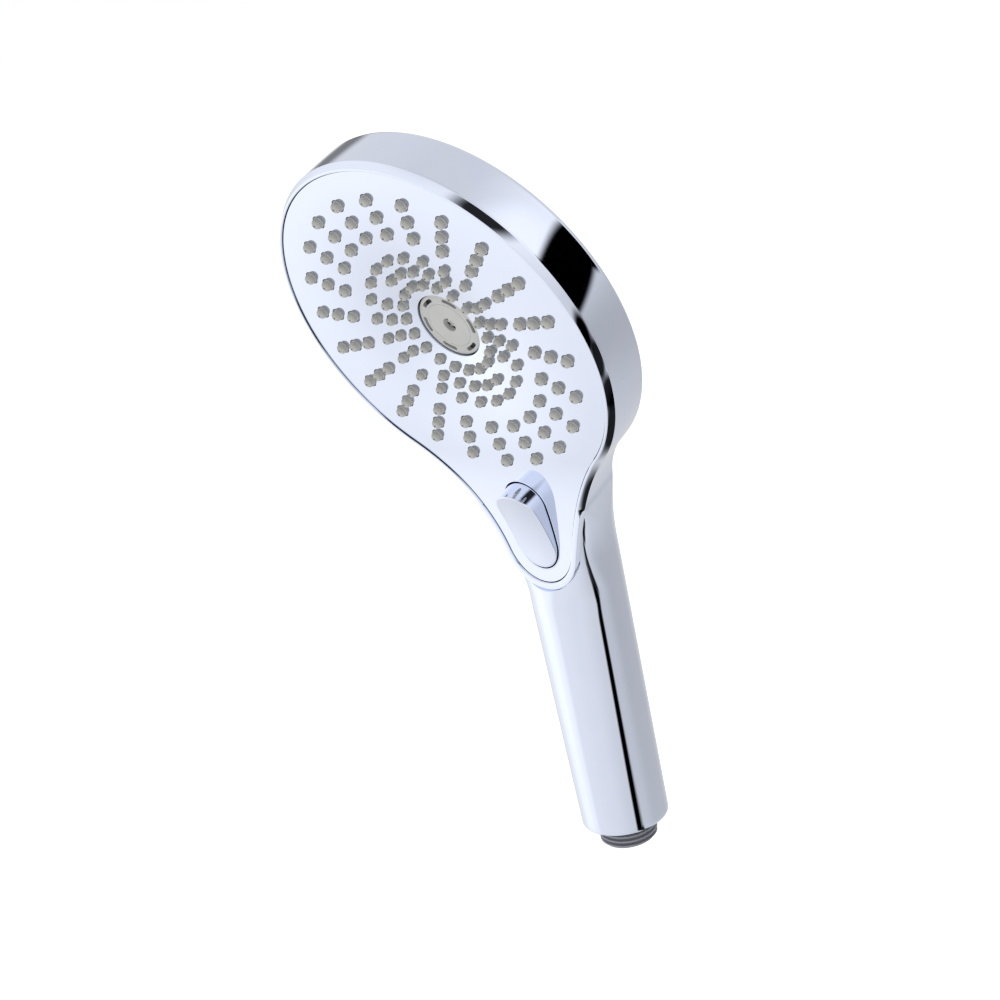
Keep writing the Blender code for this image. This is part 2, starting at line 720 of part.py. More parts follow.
def pin_place():
    """Place (s, w) of the button's pin, which passes in front of the inlet tube."""
    s = BUTTON_TOP + PIN_FROM_TOP
    tube_front = float(handle_axis_w(s)) + TUBE_RADIUS / math.cos(HEAD_TILT)
    return s, tube_front + PIN_OVER_TUBE + PIN_RADIUS


def build_nozzles(silicone, head):
    """Two soft mats behind the plate, each with its nozzles."""
    outer, inner = nozzle_places()
    top = -PLATE_THICKNESS - GAP
    fields = (
        ("nozzle_mat_outer", MAT_SPLIT + GAP, MAT_OUTER_EDGE, outer, OUTER_NOZZLE_RADIUS),
        ("nozzle_mat_inner", MAT_INNER_EDGE, MAT_SPLIT, inner, INNER_NOZZLE_RADIUS),
    )
    for name, first, last, places, radius in fields:
        upper = dished_rows(first, last, 4, top)
        lower = dished_rows(first, last, 4, top - MAT_THICKNESS)
        mat = lathe(name, upper + lower[::-1], silicone, head, segments=32)
        tip = radius * NOZZLE_TAPER
        tool = pegs(
            "tool_" + name, places, radius, tip, top - MAT_THICKNESS / 2.0, NOZZLE_HEIGHT,
            silicone, head,
        )
        boolean(mat, tool, "UNION")


def build_centre(grey, plastic, steel, head):
    """Centre disc with its slots, and the turbine and axle behind it."""
    back = -DISC_FACE - DISC_THICKNESS
    profile = [
        (DISC_HOLE_RADIUS, back),
        (DISC_RADIUS, back),
        (DISC_RADIUS, -DISC_FACE - 0.4 * MM),
        (DISC_RADIUS - 0.4 * MM, -DISC_FACE),
        (DISC_HOLE_RADIUS, -DISC_FACE),
    ]
    disc = lathe("centre_disc", profile, grey, head, segments=30)
    for step in range(DISC_SLOTS):
        middle = 2.0 * math.pi * (step + 0.5) / DISC_SLOTS
        outline = arc_slot(DISC_SLOT_RADIUS, DISC_SLOT_WIDTH, middle, DISC_SLOT_ANGLE)
        tool = prism("tool_disc_slot_%d" % step, outline, -20.0 * MM, 5.0 * MM, grey, head)
        boolean(disc, tool, "DIFFERENCE")
    top = back - GAP
    low = top - TURBINE_HEIGHT
    hub = AXLE_RADIUS + 1.0 * MM
    wheel = lathe(
        "turbine",
        [(AXLE_RADIUS + GAP, low), (hub, low), (hub, top), (AXLE_RADIUS + GAP, top)],
        plastic,
        head,
        segments=16,
    )
    for step in range(TURBINE_BLADES):
        turn = Matrix.Rotation(2.0 * math.pi * step / TURBINE_BLADES, 4, "Z")
        blade = box(
            "tool_blade_%d" % step,
            (hub - 0.4 * MM, -0.5 * MM, low + 0.1 * MM),
            (TURBINE_RADIUS, 0.5 * MM, top - 0.1 * MM),
            plastic,
            head,
            turn,
        )
        boolean(wheel, blade, "UNION")
    cylinder("turbine_axle", AXLE_RADIUS, -BODY_BACK, top + 0.5 * MM, steel, head, segments=16)


def build_body(plastic, rubber, steel, head):
    """Spray body and chamber lid with their seal and screws."""
    front = dished_rows(
        MAT_INNER_EDGE, BODY_RADIUS, 5, -PLATE_THICKNESS - MAT_THICKNESS - 2.0 * GAP
    )
    step = -DISC_FACE - DISC_THICKNESS - GAP
    pocket = TURBINE_RADIUS + 4.0 * GAP
    groove_in = SEAL_RADIUS - SEAL_GROOVE
    groove_out = SEAL_RADIUS + SEAL_GROOVE
    floor = -BODY_BACK + 2.0 * SEAL_WIRE + GAP
    profile = [(pocket, step), (MAT_INNER_EDGE - 2.0 * GAP, step)] + front
    profile += [(BODY_RADIUS, -BODY_BACK), (groove_out, -BODY_BACK), (groove_out, floor)]
    profile += [(groove_in, floor), (groove_in, -BODY_BACK), (pocket, -BODY_BACK)]
    body = lathe("spray_body", profile, plastic, head, segments=32)
    valve = at(0.0, -VALVE_CENTRE, 0.0)
    floor = -BODY_BACK + VALVE_DEPTH
    well = cylinder("tool_well", VALVE_RADIUS, -30.0 * MM, floor, plastic, head, valve)
    boolean(body, well, "DIFFERENCE")
    for step in (0, 1, 2):
        turn = 2.0 * math.pi * step / PORT_COUNT
        place = at(PORT_CIRCLE * math.sin(turn), -VALVE_CENTRE + PORT_CIRCLE * math.cos(turn), 0.0)
        tool = cylinder(
            "tool_port_%d" % step, PORT_RADIUS, -30.0 * MM, 0.0, plastic, head, place, 10
        )
        boolean(body, tool, "DIFFERENCE")

    lid_front = -BODY_BACK - GAP
    lid_back = lid_front - LID_THICKNESS
    lid = lathe(
        "chamber_lid",
        [(0.0, lid_back), (LID_RADIUS, lid_back), (LID_RADIUS, lid_front), (0.0, lid_front)],
        plastic,
        head,
        segments=34,
    )
    outside = TUBE_RADIUS + SOCKET_CLEARANCE + SOCKET_WALL
    inside = TUBE_RADIUS + SOCKET_CLEARANCE
    end_s = handle_s(TUBE_TOP)
    end_w = float(handle_axis_w(end_s))
    bridge = box(
        "tool_lid_bridge",
        (-outside * 0.8, -end_s - 1.0 * MM, end_w - outside * 0.8),
        (outside * 0.8, -VALVE_CENTRE - 9.0 * MM, (lid_front + lid_back) / 2.0),
        plastic,
        head,
    )
    boolean(lid, bridge, "UNION", "MANIFOLD")
    socket = cylinder(
        "tool_lid_socket", outside, TUBE_TOP - SOCKET_LENGTH, TUBE_TOP + 3.0 * MM, plastic
    )
    boolean(lid, socket, "UNION", "MANIFOLD")
    bore = cylinder(
        "tool_lid_bore", inside, TUBE_TOP - 2.0 * SOCKET_LENGTH, TUBE_TOP + GAP, plastic
    )
    boolean(lid, bore, "DIFFERENCE", "MANIFOLD")
    duct = cylinder("tool_lid_duct", TUBE_BORE - 1.0 * MM, TUBE_TOP - 2.0 * MM,
                    TUBE_TOP + 9.0 * MM, plastic)
    boolean(lid, duct, "DIFFERENCE", "MANIFOLD")
    riser = cylinder("tool_lid_riser", TUBE_BORE - 1.2 * MM, end_w, 0.0, plastic, head,
                     at(0.0, -end_s + 8.0 * MM, 0.0))
    boolean(lid, riser, "DIFFERENCE", "MANIFOLD")
    spindle = cylinder("tool_lid_spindle", SPINDLE_RADIUS + GAP, -30.0 * MM, 0.0, plastic, head,
                       valve, 16)
    boolean(lid, spindle, "DIFFERENCE", "MANIFOLD")

    lathe("body_seal", ring_of_wire(SEAL_RADIUS, SEAL_WIRE, -BODY_BACK + SEAL_WIRE, 5), rubber,
          head, segments=28)
    for step in range(SCREW_COUNT):
        turn = 2.0 * math.pi * (step + 0.5) / SCREW_COUNT
        place = at(SCREW_CIRCLE * math.sin(turn), SCREW_CIRCLE * math.cos(turn), 0.0)
        through = cylinder("tool_lid_screw_%d" % step, SCREW_RADIUS + GAP, -20.0 * MM, 0.0,
                           plastic, head, place, 12)
        boolean(lid, through, "DIFFERENCE", "MANIFOLD")
        depth = -BODY_BACK + SCREW_DEPTH
        thread = cylinder("tool_body_screw_%d" % step, SCREW_RADIUS + GAP, -20.0 * MM,
                          depth, plastic, head, place, 12)
        boolean(body, thread, "DIFFERENCE")
        head_low = lid_back - GAP - SCREW_HEAD_HEIGHT
        profile = [
            (0.0, head_low + 0.8 * MM),
            (1.1 * MM, head_low + 0.8 * MM),
            (1.1 * MM, head_low),
            (SCREW_HEAD_RADIUS, head_low),
            (SCREW_HEAD_RADIUS, lid_back - GAP),
            (SCREW_RADIUS, lid_back - GAP),
            (SCREW_RADIUS, depth - GAP - 0.4 * MM),
            (0.0, depth - GAP - 0.4 * MM),
        ]
        lathe("lid_screw_%d" % (step + 1), profile, steel, head, place, segments=10)


def build_diverter(plastic, rubber, steel, head):
    """Valve seat, diverter disc with its spindle, ratchet wheel and clip."""
    turning = bpy.data.objects.new("diverter_axis", None)
    bpy.context.collection.objects.link(turning)
    turning.parent = head
    turning.matrix_local = at(0.0, -VALVE_CENTRE, 0.0)
    floor = -BODY_BACK + VALVE_DEPTH
    radius = VALVE_RADIUS - GAP
    seat_top = floor - GAP
    seat_low = seat_top - SEAT_THICKNESS
    seat = cylinder("valve_seat", radius, seat_low, seat_top, rubber, turning)
    for step in (0, 1, 2):
        turn = 2.0 * math.pi * step / PORT_COUNT
        place = at(PORT_CIRCLE * math.sin(turn), PORT_CIRCLE * math.cos(turn), 0.0)
        tool = cylinder("tool_seat_port_%d" % step, PORT_RADIUS, -30.0 * MM, 0.0, rubber,
                        turning, place, 10)
        boolean(seat, tool, "DIFFERENCE")
    disc_top = seat_low - GAP
    disc_low = disc_top - DIVERTER_THICKNESS
    end = disc_low - SPINDLE_LENGTH
    profile = [
        (0.0, end),
        (SPINDLE_RADIUS, end),
        (SPINDLE_RADIUS, disc_low),
        (radius, disc_low),
        (radius, disc_top),
        (0.0, disc_top),
    ]
    disc = lathe("diverter_disc", profile, plastic, turning, segments=24)
    place = at(PORT_CIRCLE * math.sin(0.0), PORT_CIRCLE * math.cos(0.0), 0.0)
    port = cylinder("tool_disc_port", PORT_RADIUS, -30.0 * MM, 0.0, plastic, turning, place, 10)
    boolean(disc, port, "DIFFERENCE")

    wheel_top = -BODY_BACK - 2.0 * GAP - LID_THICKNESS
    wheel_low = wheel_top - RATCHET_THICKNESS
    outline = []
    for tooth in range(RATCHET_TEETH):
        turn = 2.0 * math.pi * tooth / RATCHET_TEETH
        for radius, lead in ((RATCHET_RADIUS - RATCHET_TOOTH, 0.0), (RATCHET_RADIUS, 0.02)):
            outline.append((radius * math.cos(turn + lead), radius * math.sin(turn + lead)))
    wheel = prism("ratchet_wheel", outline, wheel_low, wheel_top, plastic, turning)
    bore = cylinder("tool_ratchet_bore", SPINDLE_RADIUS + GAP, -30.0 * MM, 0.0, plastic,
                    turning, None, 16)
    boolean(wheel, bore, "DIFFERENCE")
    clip_top = wheel_low - GAP
    clip = [
        (SPINDLE_RADIUS + GAP, clip_top - CLIP_THICKNESS),
        (CLIP_RADIUS, clip_top - CLIP_THICKNESS),
        (CLIP_RADIUS, clip_top),
        (SPINDLE_RADIUS + GAP, clip_top),
    ]
    lathe("spindle_clip", clip, steel, turning, segments=20)


def build_button(chrome, plastic, steel, head):
    """Rocker button on its pin, its torsion spring, and the pawl slider it pulls."""
    pin_s, pin_w = pin_place()
    axis = bpy.data.objects.new("button_axis", None)
    bpy.context.collection.objects.link(axis)
    axis.parent = head
    axis.matrix_local = at(0.0, -pin_s, pin_w)

    room = SPRING_RADIUS + SPRING_WIRE + SPRING_CLEARANCE
    sink = float(plate_top(0.0, pin_s)) - pin_w - room
    outline = button_outline(0.0)
    count = len(outline)
    low = [float(plate_top(0.0, s)) - sink for x, s in outline]
    high = [float(plate_top(0.0, s)) + float(button_rise(s)) for x, s in outline]
    points = [(x, -s + pin_s, w - pin_w) for (x, s), w in zip(outline, low)]
    points += [(x, -s + pin_s, w - pin_w) for (x, s), w in zip(outline, high)]
    middle = BUTTON_TOP + BUTTON_LENGTH / 2.0
    for height in (-sink, float(button_rise(middle)) + 0.4 * MM):
        points.append((0.0, pin_s - middle, float(plate_top(0.0, middle)) + height - pin_w))
    faces = []
    for i in range(count):
        j = (i + 1) % count
        faces.append((i, j, count + j, count + i))
        faces.append((j, i, 2 * count))
        faces.append((count + i, count + j, 2 * count + 1))
    button = add_mesh("button", points, faces, chrome, axis)
    top = room + 0.6 * MM
    boss = [(-PIN_RADIUS - 1.0 * MM, top), (-PIN_RADIUS - 1.0 * MM, 0.0)]
    for i in range(1, 6):
        turn = math.pi * i / 6.0
        boss.append((-(PIN_RADIUS + 1.0 * MM) * math.cos(turn),
                     -(PIN_RADIUS + 1.0 * MM) * math.sin(turn)))
    boss += [(PIN_RADIUS + 1.0 * MM, 0.0), (PIN_RADIUS + 1.0 * MM, top)]
    for name, sign in (("left", -1.0), ("right", 1.0)):
        places = sorted((sign * (CRANK_SIDE - 2.2 * MM), sign * (BUTTON_HALF_WIDTH - 0.1 * MM)))
        tab = side_prism("tool_boss_" + name, boss, places[0], places[1], chrome, axis)
        boolean(button, tab, "UNION")
    reach = SLIDER_DEPTH + pin_w
    inner = CRANK_SIDE - CRANK_THICKNESS / 2.0
    outer = CRANK_SIDE + CRANK_THICKNESS / 2.0
    leg = box("tool_crank", (inner, -CRANK_WIDTH / 2.0, -reach - PEG_RADIUS - 0.4 * MM),
              (outer, CRANK_WIDTH / 2.0, -0.5 * MM), chrome, axis)
    boolean(button, leg, "UNION")
    peg = side_prism("tool_peg", round_outline(PEG_RADIUS, 0.0, -reach, 10), outer - 0.3 * MM,
                     SLIDER_SIDE, chrome, axis)
    boolean(button, peg, "UNION")
    bore = side_prism("tool_button_bore", round_outline(PIN_RADIUS + GAP, 0.0, 0.0, 14),
                      -PIN_LENGTH, PIN_LENGTH, chrome, axis)
    boolean(button, bore, "DIFFERENCE")
    side_prism("button_pin", round_outline(PIN_RADIUS, pin_s, pin_w, 16), -PIN_LENGTH / 2.0,
               PIN_LENGTH / 2.0, steel, head)

    wire = bpy.data.curves.new("button_spring", "CURVE")
    wire.dimensions = "3D"
    wire.bevel_depth = SPRING_WIRE
    wire.bevel_resolution = 1
    wire.use_fill_caps = True
    spline = wire.splines.new("POLY")
    steps = SPRING_TURNS * 12
    spline.points.add(steps)
    for i in range(steps + 1):
        turn = 2.0 * math.pi * i / 12.0
        x = -SPRING_SIDE - SPRING_PITCH * i / 12.0 + SPRING_PITCH
        place = (x, SPRING_RADIUS * math.cos(turn), SPRING_RADIUS * math.sin(turn), 1.0)
        spline.points[i].co = place
    wire.materials.append(steel)
    spring = bpy.data.objects.new("button_spring", wire)
    bpy.context.collection.objects.link(spring)
    spring.parent = axis

    low = -SLIDER_DEPTH - SLIDER_THICKNESS / 2.0
    high = -SLIDER_DEPTH + SLIDER_THICKNESS / 2.0
    left = SLIDER_SIDE - SLIDER_WIDTH / 2.0
    right = SLIDER_SIDE + SLIDER_WIDTH / 2.0
    tip = RATCHET_RADIUS + GAP
    bottom = pin_s + SLIDER_END
    outline = [
        (left, -bottom),
        (right, -bottom),
        (right, -VALVE_CENTRE + 2.0 * MM),
        (tip, -VALVE_CENTRE + 2.0 * MM),
        (tip, -VALVE_CENTRE),
        (left, -VALVE_CENTRE - 1.0 * MM),
    ]
    slider = prism("pawl_slider", outline, low, high, plastic, head)
    half = PEG_RADIUS + GAP
    notch = box("tool_notch", (left - 1.0 * MM, -pin_s - half, low - 1.0 * MM),
                (SLIDER_SIDE + GAP, -pin_s + half, high + 1.0 * MM), plastic, head)
    boolean(slider, notch, "DIFFERENCE")


def build_inlet(grey, plastic, rubber, steel):
    """Inlet tube with its thread, its seals, and what sits in the handle's end."""
    root = THREAD_RADIUS - THREAD_HEIGHT
    groove = TUBE_TOP - ORING_FROM_TOP
    bed = TUBE_RADIUS - 2.0 * ORING_WIRE - 0.1 * MM
    profile = [(INLET_BORE, 0.0), (root, 0.0)]
    turns = int(THREAD_LENGTH / THREAD_PITCH)
    start = (THREAD_LENGTH - turns * THREAD_PITCH) / 2.0
    for turn in range(turns):
        low = start + turn * THREAD_PITCH
        profile += [
            (root, low + 0.1 * THREAD_PITCH),
            (THREAD_RADIUS, low + 0.4 * THREAD_PITCH),
            (THREAD_RADIUS, low + 0.6 * THREAD_PITCH),
            (root, low + 0.9 * THREAD_PITCH),
        ]
    profile += [
        (root, THREAD_LENGTH),
        (TUBE_RADIUS, THREAD_LENGTH),
        (TUBE_RADIUS, groove - ORING_WIRE - GAP),
        (bed, groove - ORING_WIRE - GAP),
        (bed, groove + ORING_WIRE + GAP),
        (TUBE_RADIUS, groove + ORING_WIRE + GAP),
        (TUBE_RADIUS, TUBE_TOP),
        (TUBE_BORE, TUBE_TOP),
        (TUBE_BORE, THREAD_LENGTH - INLET_SHOULDER),
        (INLET_BORE, THREAD_LENGTH - INLET_SHOULDER),
    ]
    lathe("inlet_tube", profile, grey, segments=18)
    middle = (bed + TUBE_RADIUS + SOCKET_CLEARANCE) / 2.0
    lathe("tube_seal", ring_of_wire(middle, ORING_WIRE, groove, 6), rubber, segments=20)
    bush_low = THREAD_LENGTH + GAP
    shell_inside = min(HANDLE_HALF_WIDTH_END, HANDLE_FRONT_END) - WALL
    bush = [
        (TUBE_RADIUS + GAP, bush_low),
        (shell_inside - GAP, bush_low),
        (shell_inside - GAP, bush_low + BUSH_HEIGHT),
        (TUBE_RADIUS + GAP, bush_low + BUSH_HEIGHT),
    ]
    lathe("handle_bush", bush, plastic, segments=20)
    top = THREAD_LENGTH - INLET_SHOULDER - GAP
    low = top - RESTRICTOR_THICKNESS
    restrictor = [
        (1.2 * MM, low),
        (INLET_BORE - GAP, low),
        (INLET_BORE - GAP, top),
        (2.2 * MM, top),
    ]
    lathe("flow_restrictor", restrictor, plastic, segments=24)
    top = low - GAP
    low = top - SCREEN_THICKNESS
    screen = cylinder("filter_screen", INLET_BORE - GAP, low, top, steel, segments=24)
    for step in range(SCREEN_HOLES):
        turn = 2.0 * math.pi * (step + 0.2) / SCREEN_HOLES
        place = at(SCREEN_CIRCLE * math.cos(turn), SCREEN_CIRCLE * math.sin(turn), 0.0)
        tool = cylinder("tool_screen_%d" % step, SCREEN_HOLE, 0.0, 30.0 * MM, steel, None, place, 8)
        boolean(screen, tool, "DIFFERENCE")


def main():
    """Clear the scene and build every piece."""
    for old in list(bpy.data.objects):
        bpy.data.objects.remove(old, do_unlink=True)
    chrome = material("bright chrome", (0.78, 0.80, 0.84), 0.06, 1.0)
    mirror = material("mirror chrome", (0.86, 0.88, 0.92), 0.03, 1.0)
    silicone = material("grey silicone", (0.33, 0.33, 0.33), 0.55, 0.0)
    grey = material("grey plastic", (0.42, 0.43, 0.45), 0.40, 0.0)
    plastic = material("white acetal", (0.75, 0.75, 0.72), 0.45, 0.0)
    rubber = material("black rubber", (0.03, 0.03, 0.03), 0.70, 0.0)
    steel = material("stainless steel", (0.60, 0.59, 0.57), 0.25, 1.0)

    head = bpy.data.objects.new("head_frame", None)
    bpy.context.collection.objects.link(head)
    head.matrix_local = at(0.0, HEAD_CENTRE_Y, HEAD_CENTRE_Z) @ Matrix.Rotation(
        math.pi / 2.0 + HEAD_TILT, 4, "X"
    )
    build_shell(chrome, head)
    build_face(chrome, mirror, head)
    build_nozzles(silicone, head)
    build_centre(grey, plastic, steel, head)
    build_body(plastic, rubber, steel, head)
    build_diverter(plastic, rubber, steel, head)
    build_button(chrome, plastic, steel, head)
    build_inlet(grey, plastic, rubber, steel)


main()
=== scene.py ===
import math

import bmesh
import bpy
import numpy as np
from mathutils import Matrix


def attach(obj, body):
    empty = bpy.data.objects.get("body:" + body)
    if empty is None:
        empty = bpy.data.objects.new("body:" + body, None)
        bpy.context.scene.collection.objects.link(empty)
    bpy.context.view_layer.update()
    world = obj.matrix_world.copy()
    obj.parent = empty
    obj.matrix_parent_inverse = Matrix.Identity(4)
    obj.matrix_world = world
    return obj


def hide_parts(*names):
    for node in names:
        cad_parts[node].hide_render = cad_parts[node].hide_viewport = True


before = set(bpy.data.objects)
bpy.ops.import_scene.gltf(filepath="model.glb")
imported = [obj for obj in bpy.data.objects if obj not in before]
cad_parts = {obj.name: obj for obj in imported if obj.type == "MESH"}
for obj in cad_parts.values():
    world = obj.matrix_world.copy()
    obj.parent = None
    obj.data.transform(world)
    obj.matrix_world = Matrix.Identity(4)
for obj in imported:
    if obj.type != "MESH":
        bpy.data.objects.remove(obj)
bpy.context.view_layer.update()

MM = 0.001
GAP = 0.3 * MM

HEAD_TILT = math.radians(18.4)
HEAD_CENTRE_Y = -34.7 * MM
HEAD_CENTRE_Z = 201.9 * MM
HEAD_RADIUS = 65.23 * MM
TAIL_RADIUS = 17.4 * MM
TAIL_CENTRE = 83.2 * MM
SIDE_RADIUS = 92.0 * MM
BEND_START = 50.0 * MM
BEND_LENGTH = 39.0 * MM

WALL = 2.2 * MM
WALL_BULGE = 0.26 * MM
RIM_DEPTH = 19.7 * MM
CORNER_RADIUS = 2.4 * MM
BACK_DEPTH = 31.0 * MM
BACK_RISE_START = 45.0 * MM
BACK_RISE_LENGTH = 50.0 * MM
HANDLE_END = 8.5 * MM
HANDLE_FLOOR = 2.0 * MM
HANDLE_EDGE = 0.7 * MM
SHOULDER_RADIUS = 55.0 * MM
NECK_START = 40.0 * MM
NECK_END = 100.0 * MM
NECK_SQUARENESS = 5.0
# Beside the ring's tail the moulding stands a little outside the ring and just under its
# crest. Each run is the start and end, along s, of the smooth change that its name gives.
SHOULDER_STEP = 0.9 * MM
STEP_RUN = (69.0 * MM, 73.0 * MM)
STEP_FADE = (76.0 * MM, 100.0 * MM)
FLUSH_DROP = 0.2 * MM
FLUSH_FADE = (94.0 * MM, 116.0 * MM)
HANDLE_HALF_TOP = 17.8 * MM
HANDLE_HALF_END = 15.7 * MM
HANDLE_FRONT_TOP = 14.3 * MM
HANDLE_FRONT_END = 15.4 * MM
SEAT_END = 73.0 * MM
RAW_FRONT = 2.0 * MM
RAW_HOLLOW_FRONT = 6.0 * MM
CUT_HIGH = 40.0 * MM
POCKET_HIGH = 30.0 * MM
POCKET_CLEARANCE = 0.12 * MM
# On the head the back half of a section spends these degrees on its wall and its corner.
WALL_TURN = 14.0
CORNER_TURN = 44.0

RING_HEIGHT = 2.6 * MM
RING_WIDTH = 2.3 * MM
RING_LEAN = math.radians(31.0)
RING_SINK = 0.22 * MM
RING_KNEE = 0.25 * MM
RING_KNEE_RISE = 0.35 * MM
RING_OUTER_ROUND = 0.35 * MM
RING_INNER_ROUND = 0.22 * MM
PLATE_DROP = 0.6 * MM
PLATE_THICKNESS = 1.2 * MM
DISH_RADIUS = 58.0 * MM
DISH_DEPTH = 7.8 * MM

OUTER_SPOKES = 22
OUTER_RADII = (52.05 * MM, 45.3 * MM, 38.6 * MM)
INNER_RADII = (28.7 * MM, 22.85 * MM, 17.0 * MM)
INNER_COUNT = 18
MISSING = (3, 8, 14, 19)
OUTER_NOZZLE = 2.05 * MM
INNER_NOZZLE = 1.75 * MM
NOZZLE_HEIGHT = 2.3 * MM
MAT_THICKNESS = 1.1 * MM
MAT_OUTER_EDGE = 56.5 * MM
MAT_SPLIT = 33.5 * MM
MAT_INNER_EDGE = 14.2 * MM

DISC_RADIUS = 11.9 * MM
DISC_FACE = 6.0 * MM
DISC_THICKNESS = 1.6 * MM
DISC_HOLE = 2.45 * MM
SLOT_RADIUS = 10.0 * MM
SLOT_WIDTH = 1.4 * MM

BUTTON_TOP = 61.4 * MM
BUTTON_LENGTH = 31.6 * MM
BUTTON_HALF = 8.7 * MM
BUTTON_RAISE = 7.2 * MM
BUTTON_SINK = 2.6 * MM
BUTTON_CLEARANCE = 0.55 * MM
PIN_S = 86.4 * MM
PIN_DEPTH = 5.2 * MM
PIN_RADIUS = 1.0 * MM
SLIDER_DEPTH = 13.9 * MM

THREAD_RADIUS = 10.478 * MM
THREAD_PITCH = 1.814 * MM
THREAD_HEIGHT = 1.162 * MM
THREAD_LENGTH = 13.0 * MM
TUBE_RADIUS = 6.0 * MM
TUBE_BORE = 4.0 * MM
INLET_BORE = 7.6 * MM
TUBE_TOP = 146.3 * MM


# ---------------------------------------------------------------- shapes

def to_row(x, s, w):
    """Head coordinates to the row frame: turned by the tilt about X, then moved to the head."""
    cos, sin = math.cos(HEAD_TILT), math.sin(HEAD_TILT)
    x, s, w = np.broadcast_arrays(x, s, w)
    y = HEAD_CENTRE_Y + sin * s - cos * w
    z = HEAD_CENTRE_Z - cos * s - sin * w
    return np.stack([x, y, z], -1)


def quads(rows, columns, wrap_rows=False, wrap_columns=False):
    """Four corner numbers for each cell of a grid whose points are counted along its rows."""
    i = np.arange(rows if wrap_rows else rows - 1)[:, None]
    j = np.arange(columns if wrap_columns else columns - 1)[None, :]
    up, right = (i + 1) % rows, (j + 1) % columns
    cells = np.stack(np.broadcast_arrays(
        i * columns + j, i * columns + right, up * columns + right, up * columns + j), -1)
    return cells.reshape(-1, 4)


def solid(name, grids, sharp=35.0):
    """One mesh from several closed grids of points, each with its corner numbers.

    Doubled points at seams and poles are merged, and the faces are turned outwards.
    """
    points, faces, count = [], [], 0
    for grid, cells in grids:
        flat = np.asarray(grid).reshape(-1, 3)
        points.append(flat)
        faces.append(cells + count)
        count += len(flat)
    mesh = bpy.data.meshes.new(name)
    mesh.from_pydata(np.concatenate(points).tolist(), [], np.concatenate(faces).tolist())
    work = bmesh.new()
    work.from_mesh(mesh)
    bmesh.ops.remove_doubles(work, verts=work.verts, dist=0.002 * MM)
    bmesh.ops.dissolve_degenerate(work, edges=work.edges, dist=0.001 * MM)
    bmesh.ops.recalc_face_normals(work, faces=work.faces)
    work.to_mesh(mesh)
    work.free()
    mesh.shade_smooth()
    mesh.set_sharp_from_angle(angle=math.radians(sharp))
    made = bpy.data.objects.new(name, mesh)
    bpy.context.scene.collection.objects.link(made)
    return made


def carve(target, tools, operation="DIFFERENCE", sharp=35.0):
    """Cut the tools out of the target, or join them to it, and keep only the result's mesh."""
    for tool in tools:
        change = target.modifiers.new(tool.name, "BOOLEAN")
        change.operation = operation
        change.object = tool
        change.solver = "MANIFOLD"
    bpy.context.view_layer.update()
    seen = target.evaluated_get(bpy.context.evaluated_depsgraph_get())
    mesh = bpy.data.meshes.new_from_object(seen)
    target.modifiers.clear()
    target.data = mesh
    for tool in tools:
        bpy.data.objects.remove(tool)
    mesh.shade_smooth()
    mesh.set_sharp_from_angle(angle=math.radians(sharp))
    return target


def spun(profile, steps, lift=None):
    """A closed profile of (radius, w) points turned round the head's axis.

    x = radius sin(turn), s = radius cos(turn); lift(x, s) is added to w.
    """
    profile = np.asarray(profile)
    turn = np.linspace(0.0, 2.0 * math.pi, steps, endpoint=False)[:, None]
    x = profile[None, :, 0] * np.sin(turn)
    s = profile[None, :, 0] * np.cos(turn)
    w = profile[None, :, 1] + (0.0 if lift is None else lift(x, s))
    return to_row(x, s, w), quads(steps, len(profile), True, True)


def swept(outlines, heights):
    """Closed outlines of (x, s) points, each at its own w, joined in turn to a closed tube."""
    rows = [to_row(o[:, 0], o[:, 1], h) for o, h in zip(outlines, heights)]
    return np.stack(rows), quads(len(rows), len(rows[0]), True, True)


def stacked(outlines, heights):
    """Closed outlines joined in turn, with both ends closed by a fan to their middles."""
    rows = [to_row(o[:, 0], o[:, 1], h) for o, h in zip(outlines, heights)]
    first = np.broadcast_to(rows[0].mean(0), rows[0].shape)
    last = np.broadcast_to(rows[-1].mean(0), rows[-1].shape)
    rows = [first] + rows + [last]
    return np.stack(rows), quads(len(rows), len(rows[0]), False, True)


def side_block(outline, left, right):
    """A prism along X over a side-view outline of (s, w) points."""
    outline = np.asarray(outline)
    rows = []
    for x, share in ((left, 0.0), (left, 1.0), (right, 1.0), (right, 0.0)):
        flat = outline.mean(0) + (outline - outline.mean(0)) * share
        rows.append(to_row(np.full(len(flat), x), flat[:, 0], flat[:, 1]))
    return np.stack(rows), quads(4, len(outline), False, True)


def bend(s):
    """Rise of the face: flat, then a parabola, then a straight ramp along the handle."""
    run = np.clip(s - BEND_START, 0.0, None)
    curve = run * run / (2.0 * BEND_LENGTH)
    return math.tan(HEAD_TILT) * np.where(run < BEND_LENGTH, curve, run - BEND_LENGTH / 2.0)


def bend_slope(s):
    """Slope of the rise: from 0 to the tangent of the tilt over the bend."""
    return math.tan(HEAD_TILT) * np.clip((s - BEND_START) / BEND_LENGTH, 0.0, 1.0)


def dish(x, s):
    """Depth of the dish: its depth times (1 - radius / dish radius) squared."""
    run = np.clip(1.0 - np.hypot(x, s) / DISH_RADIUS, 0.0, None)
    return DISH_DEPTH * run * run


def plate_top(x, s):
    """Height of the face plate's outer side."""
    return bend(s) - PLATE_DROP - dish(x, s)


def smooth(value, low, high):
    """A smooth step: 3 t squared - 2 t cubed."""
    share = np.clip((value - low) / (high - low), 0.0, 1.0)
    return share * share * (3.0 - 2.0 * share)


